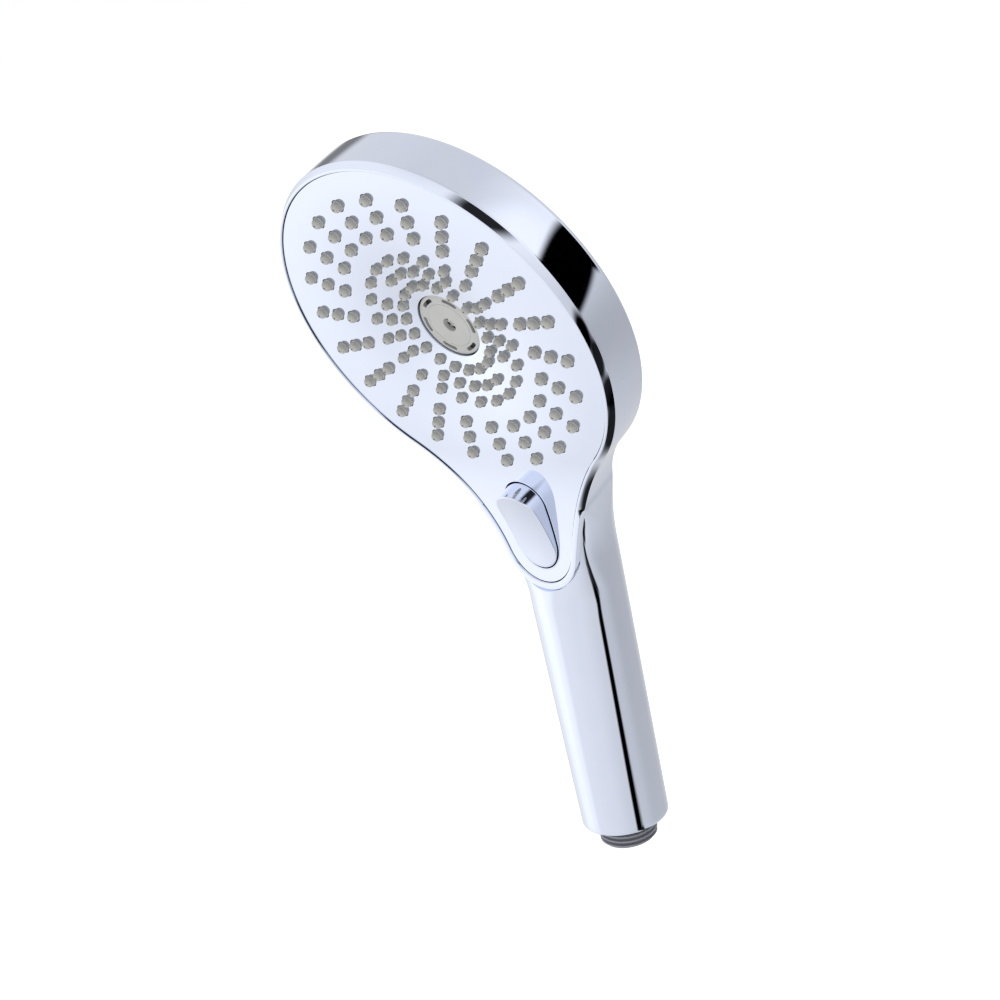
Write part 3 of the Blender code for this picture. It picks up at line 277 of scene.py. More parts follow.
def keyhole(offset, head_steps=150, side_steps=60, tail_steps=60):
    """Closed outline (x, s) of the face and the centre-line point under each of its points.

    Three arcs that touch one another on each side: the head, the hollow side, the tail.
    """
    head = HEAD_RADIUS + offset
    tail = TAIL_RADIUS + offset
    side = SIDE_RADIUS - offset
    reach = head + side
    side_s = (reach**2 - (tail + side) ** 2 + TAIL_CENTRE**2) / (2.0 * TAIL_CENTRE)
    side_x = math.sqrt(reach**2 - side_s**2)
    turn = np.linspace(0.0, math.pi - math.atan2(side_x, side_s), head_steps + 1)
    outline = [np.stack([head * np.sin(turn), -head * np.cos(turn)], 1)]
    centre = [np.zeros(head_steps + 1)]
    first, last = math.atan2(side_s, side_x), math.atan2(side_s - TAIL_CENTRE, side_x)
    turn = np.linspace(first, last, side_steps + 1)[1:]
    outline.append(np.stack([side_x - side * np.cos(turn), side_s - side * np.sin(turn)], 1))
    centre.append(TAIL_CENTRE * np.linspace(0.0, 1.0, side_steps + 1)[1:])
    turn = np.linspace(last, math.pi / 2.0, tail_steps + 1)[1:]
    outline.append(np.stack([tail * np.cos(turn), TAIL_CENTRE + tail * np.sin(turn)], 1))
    centre.append(np.full(tail_steps, TAIL_CENTRE))
    outline, centre = np.concatenate(outline), np.concatenate(centre)
    mirrored = outline[-2:0:-1] * np.array([-1.0, 1.0])
    return np.concatenate([outline, mirrored]), np.concatenate([centre, centre[-2:0:-1]])


def stadium(grow, shift=0.0, steps=36):
    """Closed outline (x, s) of the button: two half circles joined by straight sides."""
    half = BUTTON_HALF + grow
    top = BUTTON_TOP + BUTTON_HALF + shift
    low = BUTTON_TOP + BUTTON_LENGTH - BUTTON_HALF + shift
    turn = np.linspace(0.0, math.pi, steps + 1)
    upper = np.stack([half * np.cos(turn), top - half * np.sin(turn)], 1)
    lower = np.stack([-half * np.cos(turn), low + half * np.sin(turn)], 1)
    share = np.linspace(0.0, 1.0, steps // 2 + 1)[1:-1, None]
    left = upper[-1:] + (lower[:1] - upper[-1:]) * share
    right = lower[-1:] + (upper[:1] - lower[-1:]) * share
    return np.concatenate([upper, left, lower, right])


def handle_axis_w(s):
    """Height of the handle's axis over the head's plane at distance s."""
    return HEAD_CENTRE_Y / math.cos(HEAD_TILT) + math.tan(HEAD_TILT) * s


def handle_s(z):
    """Distance s of the handle's axis point at height z of the row frame."""
    return (HEAD_CENTRE_Z - z) * math.cos(HEAD_TILT) - HEAD_CENTRE_Y * math.sin(HEAD_TILT)


def shell_form(inset, face_height, end, edge, head_steps=90, side_steps=80, handle_steps=60):
    """The chromed moulding's form, or its hollow when inset is the wall.

    Stations run round the head's arc, along the shoulder arc that touches it and down the
    handle. At each one a section runs from the front of the centre line, round the side, to
    the back: on the head a flat, a straight wall, a round corner and a shallow dome; on the
    handle a front of x^n + y^n = 1 and a half ellipse behind. Over the neck the two are
    mixed by a smooth step along the centre line. There the front lies just under the ring's
    crest, and it goes over to the handle's own front past the ring's tail. The wall bulges
    by a parabola in its height.
    """
    head = HEAD_RADIUS - inset
    half = HANDLE_HALF_TOP - inset
    side = SHOULDER_RADIUS + inset
    side_x = half + side
    side_s = math.sqrt((head + side) ** 2 - side_x**2)
    turn = np.linspace(0.0, math.pi - math.atan2(side_x, side_s), head_steps + 1)
    width = [head * np.sin(turn)]
    along = [-head * np.cos(turn)]
    centre = [np.zeros(head_steps + 1)]
    share = np.linspace(0.0, 1.0, side_steps + 1)[1:]
    turn = math.atan2(side_s, side_x) * (1.0 - share)
    width.append(side_x - side * np.cos(turn))
    along.append(side_s - side * np.sin(turn))
    centre.append(along[1] * (1.0 - (1.0 - share) ** 2) * smooth(share, -0.12, 0.3))
    run = np.linspace(side_s, handle_s(end) - edge, handle_steps + 1)[1:]
    narrow = (run - side_s) / (handle_s(HANDLE_END) - side_s)
    width.append(HANDLE_HALF_TOP + narrow * (HANDLE_HALF_END - HANDLE_HALF_TOP) - inset)
    along.append(run)
    centre.append(run)
    cuts = [np.zeros(len(w)) for w in width]
    if edge > 0.0:
        turn = np.linspace(0.0, math.pi / 2.0, 7)[1:]
        width.append(np.full(6, width[-1][-1]))
        along.append(run[-1] + edge * np.sin(turn))
        centre.append(run[-1] + edge * np.sin(turn))
        cuts.append(edge * (1.0 - np.cos(turn)))
    width.append(np.full(1, width[-1][-1]))
    along.append(along[-1][-1:])
    centre.append(centre[-1][-1:])
    cuts.append(width[-1])
    width, along = np.concatenate(width), np.concatenate(along)
    middle, cut = np.concatenate(centre)[:, None], np.concatenate(cuts)[:, None]

    front_turn = np.linspace(90.0, 0.0, 37)
    back_turn = np.linspace(0.0, -90.0, 91)[1:]
    angle = np.concatenate([front_turn, back_turn])[None, :]
    depth = -angle[0, 37:]
    corner = CORNER_RADIUS
    rim, dome = RIM_DEPTH - inset, BACK_DEPTH - inset
    meet = math.pi / 2.0 - math.atan(2.0 * (dome - rim) / head)
    round_angle = meet * np.clip((depth - WALL_TURN) / (CORNER_TURN - WALL_TURN), 0.0, 1.0)
    rest = np.clip((depth - CORNER_TURN) / (90.0 - CORNER_TURN), 0.0, 1.0)
    corner_in = corner * (1.0 - math.cos(meet)) / head
    reach = (1.0 - corner_in) * (1.0 - rest)
    wall_low = -rim + corner
    down_wall = np.clip(depth / WALL_TURN, 0.0, 1.0)
    bulge = WALL_BULGE / head * (2.0 * down_wall - 1.0) ** 2
    head_reach = np.where(
        depth < CORNER_TURN, 1.0 - corner * (1.0 - np.cos(round_angle)) / head, reach)
    head_reach = head_reach - bulge * np.clip(head_reach, 0.0, 1.0)
    straight = face_height + (wall_low - face_height) * down_wall
    curved = wall_low - corner * np.sin(round_angle)
    domed = wall_low - corner * math.sin(meet) - (dome - rim) * (
        1.0 - (reach / (1.0 - corner_in)) ** 2)
    head_w = np.where(
        depth < WALL_TURN, straight, np.where(depth < CORNER_TURN, curved, domed))
    head_reach = np.concatenate([np.cos(np.radians(front_turn)), head_reach])[None, :]
    head_w = np.concatenate([np.full(37, face_height), head_w])[None, :]
    lowered = np.concatenate([np.zeros(37), down_wall])[None, :]

    share = smooth(middle, NECK_START, NECK_END)
    power = 2.0 + (NECK_SQUARENESS - 2.0) * (
        1.0 - smooth(along[:, None], NECK_END - 20.0 * MM, NECK_END + 10.0 * MM))
    narrow = smooth(along[:, None], NECK_END, handle_s(HANDLE_END))
    front = HANDLE_FRONT_TOP + narrow * (HANDLE_FRONT_END - HANDLE_FRONT_TOP) - inset
    back = np.minimum(width[:, None], HANDLE_HALF_TOP - inset)
    cos, sin = np.cos(np.radians(angle)), np.sin(np.radians(angle))
    cos = np.clip(cos, 0.0, 1.0)
    full = np.clip(1.0 - cos**power, 0.0, 1.0) ** (1.0 / power)
    tilt = HEAD_TILT * share
    ground = (1.0 - share) * face_height + share * handle_axis_w(middle)
    flat_s = middle + (along[:, None] - middle) * cos
    level = bend(flat_s) - FLUSH_DROP - inset - ground
    flush = level / (np.cos(tilt) + bend_slope(flat_s) * np.sin(tilt))
    own = smooth(flat_s, *FLUSH_FADE)
    front_lift = (flush + own * (share * front - flush)) * full
    scale = np.clip(1.0 - cut / np.maximum(width[:, None], 0.01 * MM), 0.0, 1.0)
    lift = np.where(angle > 0.0, front_lift, share * back * sin) * scale
    step = smooth(along[:, None], *STEP_RUN) * smooth(angle, -40.0, 3.0)
    step = step * (1.0 - smooth(along[:, None], *STEP_FADE))
    across = (1.0 - share) * head_reach + share * cos
    run = np.clip(middle - BACK_RISE_START, 0.0, None)
    rise = math.tan(HEAD_TILT) * np.where(
        run < BACK_RISE_LENGTH, run**2 / (2.0 * BACK_RISE_LENGTH), run - BACK_RISE_LENGTH / 2.0)
    base = head_w + lowered * rise
    w = (1.0 - share) * base + share * handle_axis_w(middle) + lift * np.cos(tilt)
    s = middle + (along[:, None] - middle) * across - lift * np.sin(tilt)
    x = (width[:, None] + SHOULDER_STEP * step) * across * scale
    cells = quads(*x.shape)
    return [(to_row(x, s, w), cells), (to_row(-x, s, w), cells[:, ::-1])]


def face_slab(offset, low, high, rings=1):
    """A closed plate over the keyhole outline between two height functions.

    Each side is a fan of rings that shrink from the outline to the centre line in equal
    steps; the two sides and the edge are one grid.
    """
    outline, centre = keyhole(offset)
    target = np.stack([np.zeros(len(centre)), centre], 1)
    rows = []
    for height, shares in ((low, np.linspace(1.0, 0.0, rings + 1)),
                           (high, np.linspace(0.0, 1.0, rings + 1))):
        for share in shares:
            flat = outline + (target - outline) * share
            rows.append(to_row(flat[:, 0], flat[:, 1], height(flat[:, 0], flat[:, 1])))
    return np.stack(rows), quads(len(rows), len(outline), False, True)


def nozzle_places():
    """Centres (x, s) of the outer nozzles on straight spokes and of the three inner rings."""
    turn = 2.0 * math.pi * np.arange(OUTER_SPOKES) / OUTER_SPOKES
    spoke = np.stack([np.sin(turn), np.cos(turn)], 1)
    outer = np.concatenate([radius * spoke for radius in OUTER_RADII])
    kept = np.delete(spoke, MISSING, 0)
    turn = 2.0 * math.pi * np.arange(INNER_COUNT) / INNER_COUNT
    third = np.stack([np.sin(turn), np.cos(turn)], 1)
    return outer, np.concatenate(
        [INNER_RADII[0] * spoke, INNER_RADII[1] * kept, INNER_RADII[2] * third])


def many_spun(places, profile, steps):
    """The same closed profile turned round each place's own upright axis on the plate."""
    profile = np.asarray(profile)
    turn = np.linspace(0.0, 2.0 * math.pi, steps, endpoint=False)[None, :, None]
    x = places[:, 0, None, None] + profile[None, None, :, 0] * np.cos(turn)
    s = places[:, 1, None, None] + profile[None, None, :, 0] * np.sin(turn)
    level = plate_top(places[:, 0], places[:, 1])[:, None, None]
    w = level + profile[None, None, :, 1] + 0.0 * x
    size = steps * len(profile)
    cells = quads(steps, len(profile), True, False)
    every = (cells[None] + size * np.arange(len(places))[:, None, None]).reshape(-1, 4)
    return to_row(x, s, w), every


# ---------------------------------------------------------------- pieces

def make_shell():
    """The head's back, its wall, the neck and the handle as one hollow moulding."""
    shell = solid("chrome_shell", shell_form(0.0, RAW_FRONT, HANDLE_END, HANDLE_EDGE))
    hollow = solid("hollow", shell_form(
        WALL, RAW_HOLLOW_FRONT, HANDLE_END + HANDLE_FLOOR, 0.0))
    seat = -RING_HEIGHT - GAP
    s = np.linspace(BEND_START, SEAT_END, 24)
    rim = np.concatenate([
        [[-2.0 * HEAD_RADIUS, seat]],
        np.stack([s, bend(s) + seat], 1),
        [[SEAT_END, CUT_HIGH], [-2.0 * HEAD_RADIUS, CUT_HIGH]],
    ])
    face = solid("face", [side_block(rim, -2.0 * HEAD_RADIUS, 2.0 * HEAD_RADIUS)])

    def low(x, s):
        """The seat's height."""
        return bend(s) + seat

    def high(x, s):
        """A height clear of the moulding's front."""
        return bend(s) + POCKET_HIGH

    pocket = solid("pocket", [face_slab(POCKET_CLEARANCE, low, high)])
    return carve(shell, [hollow, face, pocket, inlet_hole()])


def inlet_hole():
    """A cutter for the round hole that the thread passes through."""
    turn = np.linspace(0.0, 2.0 * math.pi, 96, endpoint=False)
    radius = THREAD_RADIUS + GAP
    rows = []
    for share, z in ((0.0, 0.0), (1.0, 0.0), (1.0, 20.0 * MM), (0.0, 20.0 * MM)):
        rows.append(np.stack([radius * share * np.cos(turn), radius * share * np.sin(turn),
                              np.full(96, z)], 1))
    return solid("inlet_hole", [(np.stack(rows), quads(4, 96, False, True))])


def make_ring():
    """The front ring, swept round the keyhole outline.

    Its section has an outer side that leans in, a flat crest, and small rounds between and
    at the inner edge. Beside the tail, where the moulding stands flush with the ring, the
    outer side is upright: there each point moves out by what the lean took in.
    """
    foot = -RING_HEIGHT - RING_SINK
    turn = np.linspace(0.0, RING_LEAN, 4)
    section = [(0.0, foot)]
    section += list(zip(-RING_KNEE * (1.0 - np.cos(turn)),
                        foot + RING_KNEE_RISE + RING_KNEE * np.sin(turn)))
    knee_x, knee_w = section[-1]
    top = RING_OUTER_ROUND
    turn = np.linspace(RING_LEAN, math.pi / 2.0, 7)
    start_w = -top + top * math.sin(RING_LEAN)
    start_x = knee_x - (start_w - knee_w) * math.tan(RING_LEAN)
    centre_x = start_x - top * math.cos(RING_LEAN)
    section += list(zip(centre_x + top * np.cos(turn), -top + top * np.sin(turn)))
    outer_points = len(section) - 1
    inside = RING_INNER_ROUND
    turn = np.linspace(0.0, math.pi / 2.0, 5)
    section += list(zip(-RING_WIDTH + inside - inside * np.sin(turn),
                        -inside + inside * np.cos(turn)))
    section += [(-RING_WIDTH, foot)]
    chamfer = np.clip([-offset for offset, height in section], 0.0, -start_x)
    outlines, heights = [], []
    for number, (offset, height) in enumerate(section):
        leaning = keyhole(offset)[0]
        upright = keyhole(offset + chamfer[number])[0] if number < outer_points else leaning
        share = smooth(leaning[:, 1:], *STEP_RUN)
        outlines.append(leaning + share * (upright - leaning))
        heights.append(bend(outlines[-1][:, 1]) + height)
    return solid("front_rim", [swept(outlines, heights)], 50.0)


def make_plate():
    """The dished mirror plate with a hole for each nozzle, the disc and the button."""
    edge = -RING_WIDTH - GAP

    def low(x, s):
        """The plate's back."""
        return plate_top(x, s) - PLATE_THICKNESS

    plate = solid("mirror_plate", [face_slab(edge, low, plate_top, 70)])
    tools = []
    for places, radius in zip(nozzle_places(), (OUTER_NOZZLE, INNER_NOZZLE)):
        wide = radius + GAP
        holes = [(0.0, -4.0 * MM), (wide, -4.0 * MM), (wide, 4.0 * MM), (0.0, 4.0 * MM)]
        tools.append(solid("holes", [many_spun(places, holes, 20)]))
    wide = DISC_RADIUS + GAP
    hole = [(0.0, -20.0 * MM), (wide, -20.0 * MM), (wide, 5.0 * MM), (0.0, 5.0 * MM)]
    tools.append(solid("disc_hole", [spun(hole, 96)]))
    outline = stadium(BUTTON_CLEARANCE)
    tools.append(solid("button_hole", [stacked([outline, outline], [-20.0 * MM, 20.0 * MM])]))
    carve(plate, tools)
    true_normals(plate.data)
    return plate


def true_normals(mesh):
    """Gives the plate's two sides the exact normals of the dish, and leaves its walls flat.

    The upward normal is (-dw/dx, dw/ds, 1), from the slopes of the bend and of the dish.
    """
    count = len(mesh.loops)
    corner = np.empty(count, np.int32)
    mesh.loops.foreach_get("vertex_index", corner)
    place = np.empty(len(mesh.vertices) * 3)
    mesh.vertices.foreach_get("co", place)
    place = place.reshape(-1, 3)[corner]
    sizes = np.empty(len(mesh.polygons), np.int32)
    mesh.polygons.foreach_get("loop_total", sizes)
    flat = np.empty(len(mesh.polygons) * 3)
    mesh.polygons.foreach_get("normal", flat)
    flat = np.repeat(flat.reshape(-1, 3), sizes, 0)
    cos, sin = math.cos(HEAD_TILT), math.sin(HEAD_TILT)
    x = place[:, 0]
    s = sin * (place[:, 1] - HEAD_CENTRE_Y) - cos * (place[:, 2] - HEAD_CENTRE_Z)
    radius = np.maximum(np.hypot(x, s), 1e-6)
    slope = 2.0 * DISH_DEPTH / DISH_RADIUS * np.clip(1.0 - radius / DISH_RADIUS, 0.0, None)
    in_x = slope * x / radius
    in_s = slope * s / radius + bend_slope(s)
    up = np.stack([-in_x, -cos - sin * in_s, cos * in_s - sin], 1)
    up /= np.linalg.norm(up, axis=1, keepdims=True)
    facing = (up * flat).sum(1)
    normal = np.where(facing[:, None] > 0.7, up, np.where(facing[:, None] < -0.7, -up, flat))
    mesh.normals_split_custom_set(normal.tolist())


def make_lip():
    """A fine half-round bead, 0.3 mm, round the button's opening in the plate."""
    turn = np.linspace(0.0, 2.0 * math.pi, 10, endpoint=False)
    outlines, heights = [], []
    for angle in turn:
        outline = stadium(BUTTON_CLEARANCE + 0.12 * MM + 0.28 * MM * math.cos(angle))
        outlines.append(outline)
        level = plate_top(outline[:, 0], outline[:, 1])
        heights.append(level - 0.1 * MM + 0.28 * MM * math.sin(angle))
    return solid("opening_bead", [swept(outlines, heights)], 180.0)


def nozzle_profile(radius):
    """Profile of one soft nozzle: a collar, a slim body, a round nose and its orifice."""
    nose = np.radians(np.array([6.0, 24.0, 42.0, 58.0, 72.0]))
    body = 0.88 * radius
    tall = 0.78 * body
    start = NOZZLE_HEIGHT - tall
    profile = [(0.0, -2.0 * MM), (radius, -2.0 * MM), (radius, 0.1 * MM),
               (0.96 * radius, 0.22 * MM), (body, 0.3 * MM)]
    profile += [(body * math.cos(a) ** 0.8, start + tall * math.sin(a)) for a in nose]
    orifice = 0.42 * MM
    profile += [(orifice, NOZZLE_HEIGHT), (0.9 * orifice, NOZZLE_HEIGHT - 1.0 * MM),
                (0.0, NOZZLE_HEIGHT - 1.0 * MM)]
    return profile


def make_nozzles():
    """Two soft mats behind the plate with a nozzle through each of its holes."""
    made = []
    top = -PLATE_THICKNESS - GAP
    fields = (
        ("nozzles_outer", MAT_SPLIT + GAP, MAT_OUTER_EDGE, OUTER_NOZZLE),
        ("nozzles_inner", MAT_INNER_EDGE, MAT_SPLIT, INNER_NOZZLE),
    )
    for (name, first, last, radius), places in zip(fields, nozzle_places()):
        run = np.linspace(first, last, 8)
        level = -PLATE_DROP - dish(run, 0.0) + top
        upper = np.stack([run, level], 1)
        lower = np.stack([run, level - MAT_THICKNESS], 1)[::-1]
        mat = spun(np.concatenate([upper, lower]), 72)
        nozzles = many_spun(places, nozzle_profile(radius), 14)
        made.append(solid(name, [mat, nozzles], 40.0))
    return made


def make_disc():
    """The centre disc: a turned profile with a fine groove, six curved slots and a hole."""
    face, groove = -DISC_FACE, 8.3 * MM
    back = face - DISC_THICKNESS
    profile = [
        (DISC_HOLE, back), (DISC_RADIUS, back), (DISC_RADIUS, face - 0.45 * MM),
        (DISC_RADIUS - 0.12 * MM, face - 0.15 * MM), (DISC_RADIUS - 0.45 * MM, face),
        (groove + 0.2 * MM, face), (groove + 0.1 * MM, face - 0.12 * MM),
        (groove - 0.1 * MM, face - 0.12 * MM), (groove - 0.2 * MM, face),
        (DISC_HOLE + 0.15 * MM, face), (DISC_HOLE, face - 0.15 * MM),
    ]
    disc = solid("spray_disc", [spun(profile, 120)])
    tools = []
    for number in range(6):
        middle = 2.0 * math.pi * (number + 0.5) / 6.0
        turn = np.linspace(-1.0, 1.0, 13) * math.radians(12.5) + middle
        cap = np.linspace(0.0, math.pi, 9)[1:-1]
        along = np.concatenate([turn, np.full(7, turn[-1]), turn[::-1], np.full(7, turn[0])])
        half = SLOT_WIDTH / 2.0
        out = np.concatenate([np.full(13, half), half * np.cos(cap), np.full(13, -half),
                              -half * np.cos(cap)])
        ahead = np.concatenate([np.zeros(13), half * np.sin(cap), np.zeros(13),
                                -half * np.sin(cap)])
        radius = SLOT_RADIUS + out
        x = radius * np.sin(along) + ahead * np.cos(along)
        s = radius * np.cos(along) - ahead * np.sin(along)
        outline = np.stack([x, s], 1)
        low = to_row(x, s, np.full(40, -20.0 * MM))
        high = to_row(x, s, np.full(40, 5.0 * MM))
        fan = outline.mean(0)
        ends = [to_row(np.full(40, fan[0]), np.full(40, fan[1]), w) for w in
                (-20.0 * MM, 5.0 * MM)]
        rows = np.stack([ends[0], low, high, ends[1]])
        tools.append(solid("slot", [(rows, quads(4, 40, False, True))]))
    return carve(disc, tools)


def make_button():
    """The rocker button with the bosses and the crank on its underside.

    Rings of the stadium shrink from the foot of the wall up over a quarter round, 0.45 mm,
    and inwards over a slightly crowned top. The top's height falls in a straight line from
    the raised end to the flush end.
    """
    edge = 0.45 * MM

    def level(outline):
        """Height of the crowned top over an outline's points."""
        x, s = outline[:, 0], outline[:, 1]
        share = (s - BUTTON_TOP) / BUTTON_LENGTH
        crown = 0.55 * MM * (x / BUTTON_HALF) ** 2
        return plate_top(0.0 * s, s) + BUTTON_RAISE * (1.0 - share) + GAP - crown

    outlines, heights = [stadium(0.0)], [plate_top(0.0, stadium(0.0)[:, 1]) - BUTTON_SINK]
    for turn in np.radians(np.linspace(0.0, 90.0, 7)):
        outline = stadium(-edge * (1.0 - math.cos(turn)))
        outlines.append(outline)
        heights.append(level(outline) - edge * (1.0 - math.sin(turn)))
    for share in np.linspace(0.0, 1.0, 14)[1:]:
        outline = stadium(-edge - (BUTTON_HALF - edge) * share)
        outlines.append(outline)
        heights.append(level(outline))
    rows = [to_row(o[:, 0], o[:, 1], h) for o, h in zip(outlines, heights)]
    foot = stadium(-BUTTON_HALF)
    rows.insert(0, to_row(foot[:, 0], foot[:, 1], plate_top(0.0, foot[:, 1]) - BUTTON_SINK))
    grids = [(np.stack(rows), quads(len(rows), len(rows[0]), False, True))]
    pin_w = float(plate_top(0.0, PIN_S)) - PIN_DEPTH
    boss = PIN_RADIUS + 1.0 * MM
    turn = np.linspace(0.0, math.pi, 13)
    arch = [(PIN_S - boss * math.cos(t), pin_w - boss * math.sin(t)) for t in turn]
    top = pin_w + PIN_DEPTH - BUTTON_SINK + 0.4 * MM
    tab = [(PIN_S - boss, top)] + arch + [(PIN_S + boss, top)]
    for side in (-1.0, 1.0):
        ends = sorted((side * 5.9 * MM, side * (BUTTON_HALF - 0.1 * MM)))
        grids.append(side_block(tab, *ends))
    low = -SLIDER_DEPTH - 1.3 * MM
    leg = [(PIN_S - 1.5 * MM, pin_w - 0.5 * MM), (PIN_S - 1.5 * MM, low),
           (PIN_S + 1.5 * MM, low), (PIN_S + 1.5 * MM, pin_w - 0.5 * MM)]
    grids.append(side_block(leg, 7.4 * MM, 8.8 * MM))
    turn = np.linspace(0.0, 2.0 * math.pi, 12, endpoint=False)
    peg = np.stack([PIN_S + 0.9 * MM * np.cos(turn), -SLIDER_DEPTH + 0.9 * MM * np.sin(turn)], 1)
    grids.append(side_block(peg, 8.5 * MM, 10.2 * MM))
    return solid("rocker_button", grids, 40.0)


def make_inlet():
    """The inlet tube: a G1/2 thread as a true helix, a groove for the seal, and the bore.

    The thread's radius is its root plus its height times a flat-topped wave of
    z / pitch + turn / full turn, faded to the root over one pitch at each end.
    """
    root = THREAD_RADIUS - THREAD_HEIGHT
    turn = np.linspace(0.0, 2.0 * math.pi, 96, endpoint=False)[:, None]
    z = np.linspace(0.0, THREAD_LENGTH, 131)[None, :]
    phase = (z / THREAD_PITCH + turn / (2.0 * math.pi)) % 1.0
    wave = smooth(1.0 - np.abs(2.0 * phase - 1.0), 0.22, 0.78)
    fade = smooth(z, 0.1 * MM, 1.3 * MM) * (1.0 - smooth(z, THREAD_LENGTH - 1.6 * MM,
                                                         THREAD_LENGTH - 0.3 * MM))
    radius = root + THREAD_HEIGHT * wave * fade
    groove = TUBE_TOP - 5.0 * MM
    tail = np.array([
        (TUBE_RADIUS, THREAD_LENGTH), (TUBE_RADIUS, groove - 0.75 * MM),
        (TUBE_RADIUS - 1.0 * MM, groove - 0.75 * MM), (TUBE_RADIUS - 1.0 * MM, groove + 0.75 * MM),
        (TUBE_RADIUS, groove + 0.75 * MM), (TUBE_RADIUS, TUBE_TOP - 0.4 * MM),
        (TUBE_RADIUS - 0.4 * MM, TUBE_TOP), (TUBE_BORE, TUBE_TOP),
        (TUBE_BORE, THREAD_LENGTH), (INLET_BORE, THREAD_LENGTH - 1.6 * MM),
        (INLET_BORE, 0.2 * MM), (INLET_BORE + 0.2 * MM, 0.0),
    ])
    radius = np.concatenate([radius, np.broadcast_to(tail[:, 0], (96, len(tail)))], 1)
    z = np.concatenate([np.broadcast_to(z, (96, 131)),
                        np.broadcast_to(tail[:, 1], (96, len(tail)))], 1)
    points = np.stack([radius * np.cos(turn), radius * np.sin(turn), z], -1)
    return solid("inlet_stem", [(points, quads(96, points.shape[1], True, True))], 50.0)


# ---------------------------------------------------------------- finishes

def linear(code):
    """An sRGB hex colour as linear red, green, blue and an alpha of 1."""
    values = np.array([int(code[i:i + 2], 16) for i in (1, 3, 5)]) / 255.0
    values = np.where(values <= 0.04045, values / 12.92, ((values + 0.055) / 1.055) ** 2.4)
    return (*values.tolist(), 1.0)


def add_node(tree, kind, links, **settings):
    """One node with its settings; links gives each input a value or another node's output."""
    made = tree.nodes.new(kind)
    for key, value in settings.items():
        setattr(made, key, value)
    for key, value in links.items():
        if isinstance(value, bpy.types.NodeSocket):
            tree.links.new(value, made.inputs[key])
        else:
            made.inputs[key].default_value = value
    return made


def finish(name, light, dark, roughness, spread, metallic, ior, patch, grain, depth,
           stretch=(1.0, 1.0, 1.0)):
    """A surface on Object coordinates, with sizes in millimetres.

    Its colour and roughness drift between two close values over patches, and a fine grain
    of the given width and depth lifts the surface. stretch draws the grain out along an axis.
    """
    made = bpy.data.materials.new(name)
    made.use_nodes = True
    tree = made.node_tree
    shader = tree.nodes["Principled BSDF"]
    place = add_node(tree, "ShaderNodeTexCoord", {})
    drift = add_node(tree, "ShaderNodeTexNoise",
                     {"Vector": place.outputs["Object"], "Scale": 1000.0 / patch,
                      "Detail": 3.0, "Roughness": 0.55})
    mix = add_node(tree, "ShaderNodeMix",
                   {0: drift.outputs["Fac"], 6: linear(dark), 7: linear(light)},
                   data_type="RGBA")
    tree.links.new(mix.outputs[2], shader.inputs["Base Color"])
    rough = add_node(tree, "ShaderNodeMapRange",
                     {"Value": drift.outputs["Fac"], "From Min": 0.3, "From Max": 0.7,
                      "To Min": roughness - spread, "To Max": roughness + spread})
    tree.links.new(rough.outputs["Result"], shader.inputs["Roughness"])
    drawn = add_node(tree, "ShaderNodeMapping",
                     {"Vector": place.outputs["Object"], "Scale": stretch})
    fine = add_node(tree, "ShaderNodeTexNoise",
                    {"Vector": drawn.outputs["Vector"], "Scale": 1000.0 / grain, "Detail": 2.0})
    bump = add_node(tree, "ShaderNodeBump",
                    {"Height": fine.outputs["Fac"], "Strength": 1.0, "Distance": depth * MM})
    tree.links.new(bump.outputs["Normal"], shader.inputs["Normal"])
    shader.inputs["Metallic"].default_value = metallic
    if metallic < 0.5:
        shader.inputs["IOR"].default_value = ior
    return made


# Bright chrome on moulded ABS: a blue-white mirror with a trace of orange peel.
CHROME = finish("electroplated_chrome", "#E6ECFB", "#E1E8FA", 0.035, 0.01, 1.0, 1.5,
                9.0, 6.0, 0.0015)
# The same plating on the flat spray face, polished a little finer.
MIRROR = finish("polished_face_plating", "#E6ECFB", "#E2E9FA", 0.03, 0.008, 1.0, 1.5,
                14.0, 8.0, 0.001)
# Liquid silicone rubber, moulded: a soft dull grey with a powdery grain.
SILICONE = finish("moulded_silicone", "#B5B5B1", "#A9A9A5", 0.6, 0.05, 0.0, 1.41,
                  2.0, 0.25, 0.01)
# Spark-textured ABS: satin grey with an even fine grain.
SATIN_GREY = finish("textured_abs_grey", "#BDBEBC", "#B2B3B1", 0.5, 0.05, 0.0, 1.53,
                    5.0, 0.35, 0.008)
# Satin nickel on brass: a dull grey metal with fine turning marks along the thread.
SATIN_NICKEL = finish("satin_nickel_brass", "#9A9CA4", "#8C8E96", 0.42, 0.06, 0.55, 1.5,
                      3.0, 0.2, 0.006, (0.2, 0.2, 1.0))
# Acetal, moulded: milky white and slightly waxy.
ACETAL = finish("moulded_acetal", "#EFEDE6", "#E3E1D9", 0.38, 0.05, 0.0, 1.48,
                4.0, 0.5, 0.006)
# Glass-filled nylon: dark grey with short pale fibres just under the skin.
FILLED_NYLON = finish("glass_filled_nylon", "#4A4C50", "#3C3E42", 0.55, 0.07, 0.0, 1.53,
                      1.5, 0.3, 0.012, (1.0, 0.35, 1.0))
# EPDM rubber, moulded: near black with a faint bloom.
RUBBER = finish("moulded_epdm", "#2A2B2C", "#1E1F20", 0.7, 0.06, 0.0, 1.5,
                1.2, 0.2, 0.01)
# Stainless steel, drawn and cut: a cool grey with marks along its length.
STEEL = finish("drawn_stainless", "#C9CACC", "#B9BABD", 0.28, 0.06, 1.0, 1.5,
               1.5, 0.12, 0.004, (1.0, 0.15, 0.15))
# Stainless wire cloth: brighter and coarser than the drawn wire.
MESH = finish("woven_stainless", "#BFC1C4", "#A3A5A9", 0.35, 0.08, 1.0, 1.5,
              0.6, 0.3, 0.03)


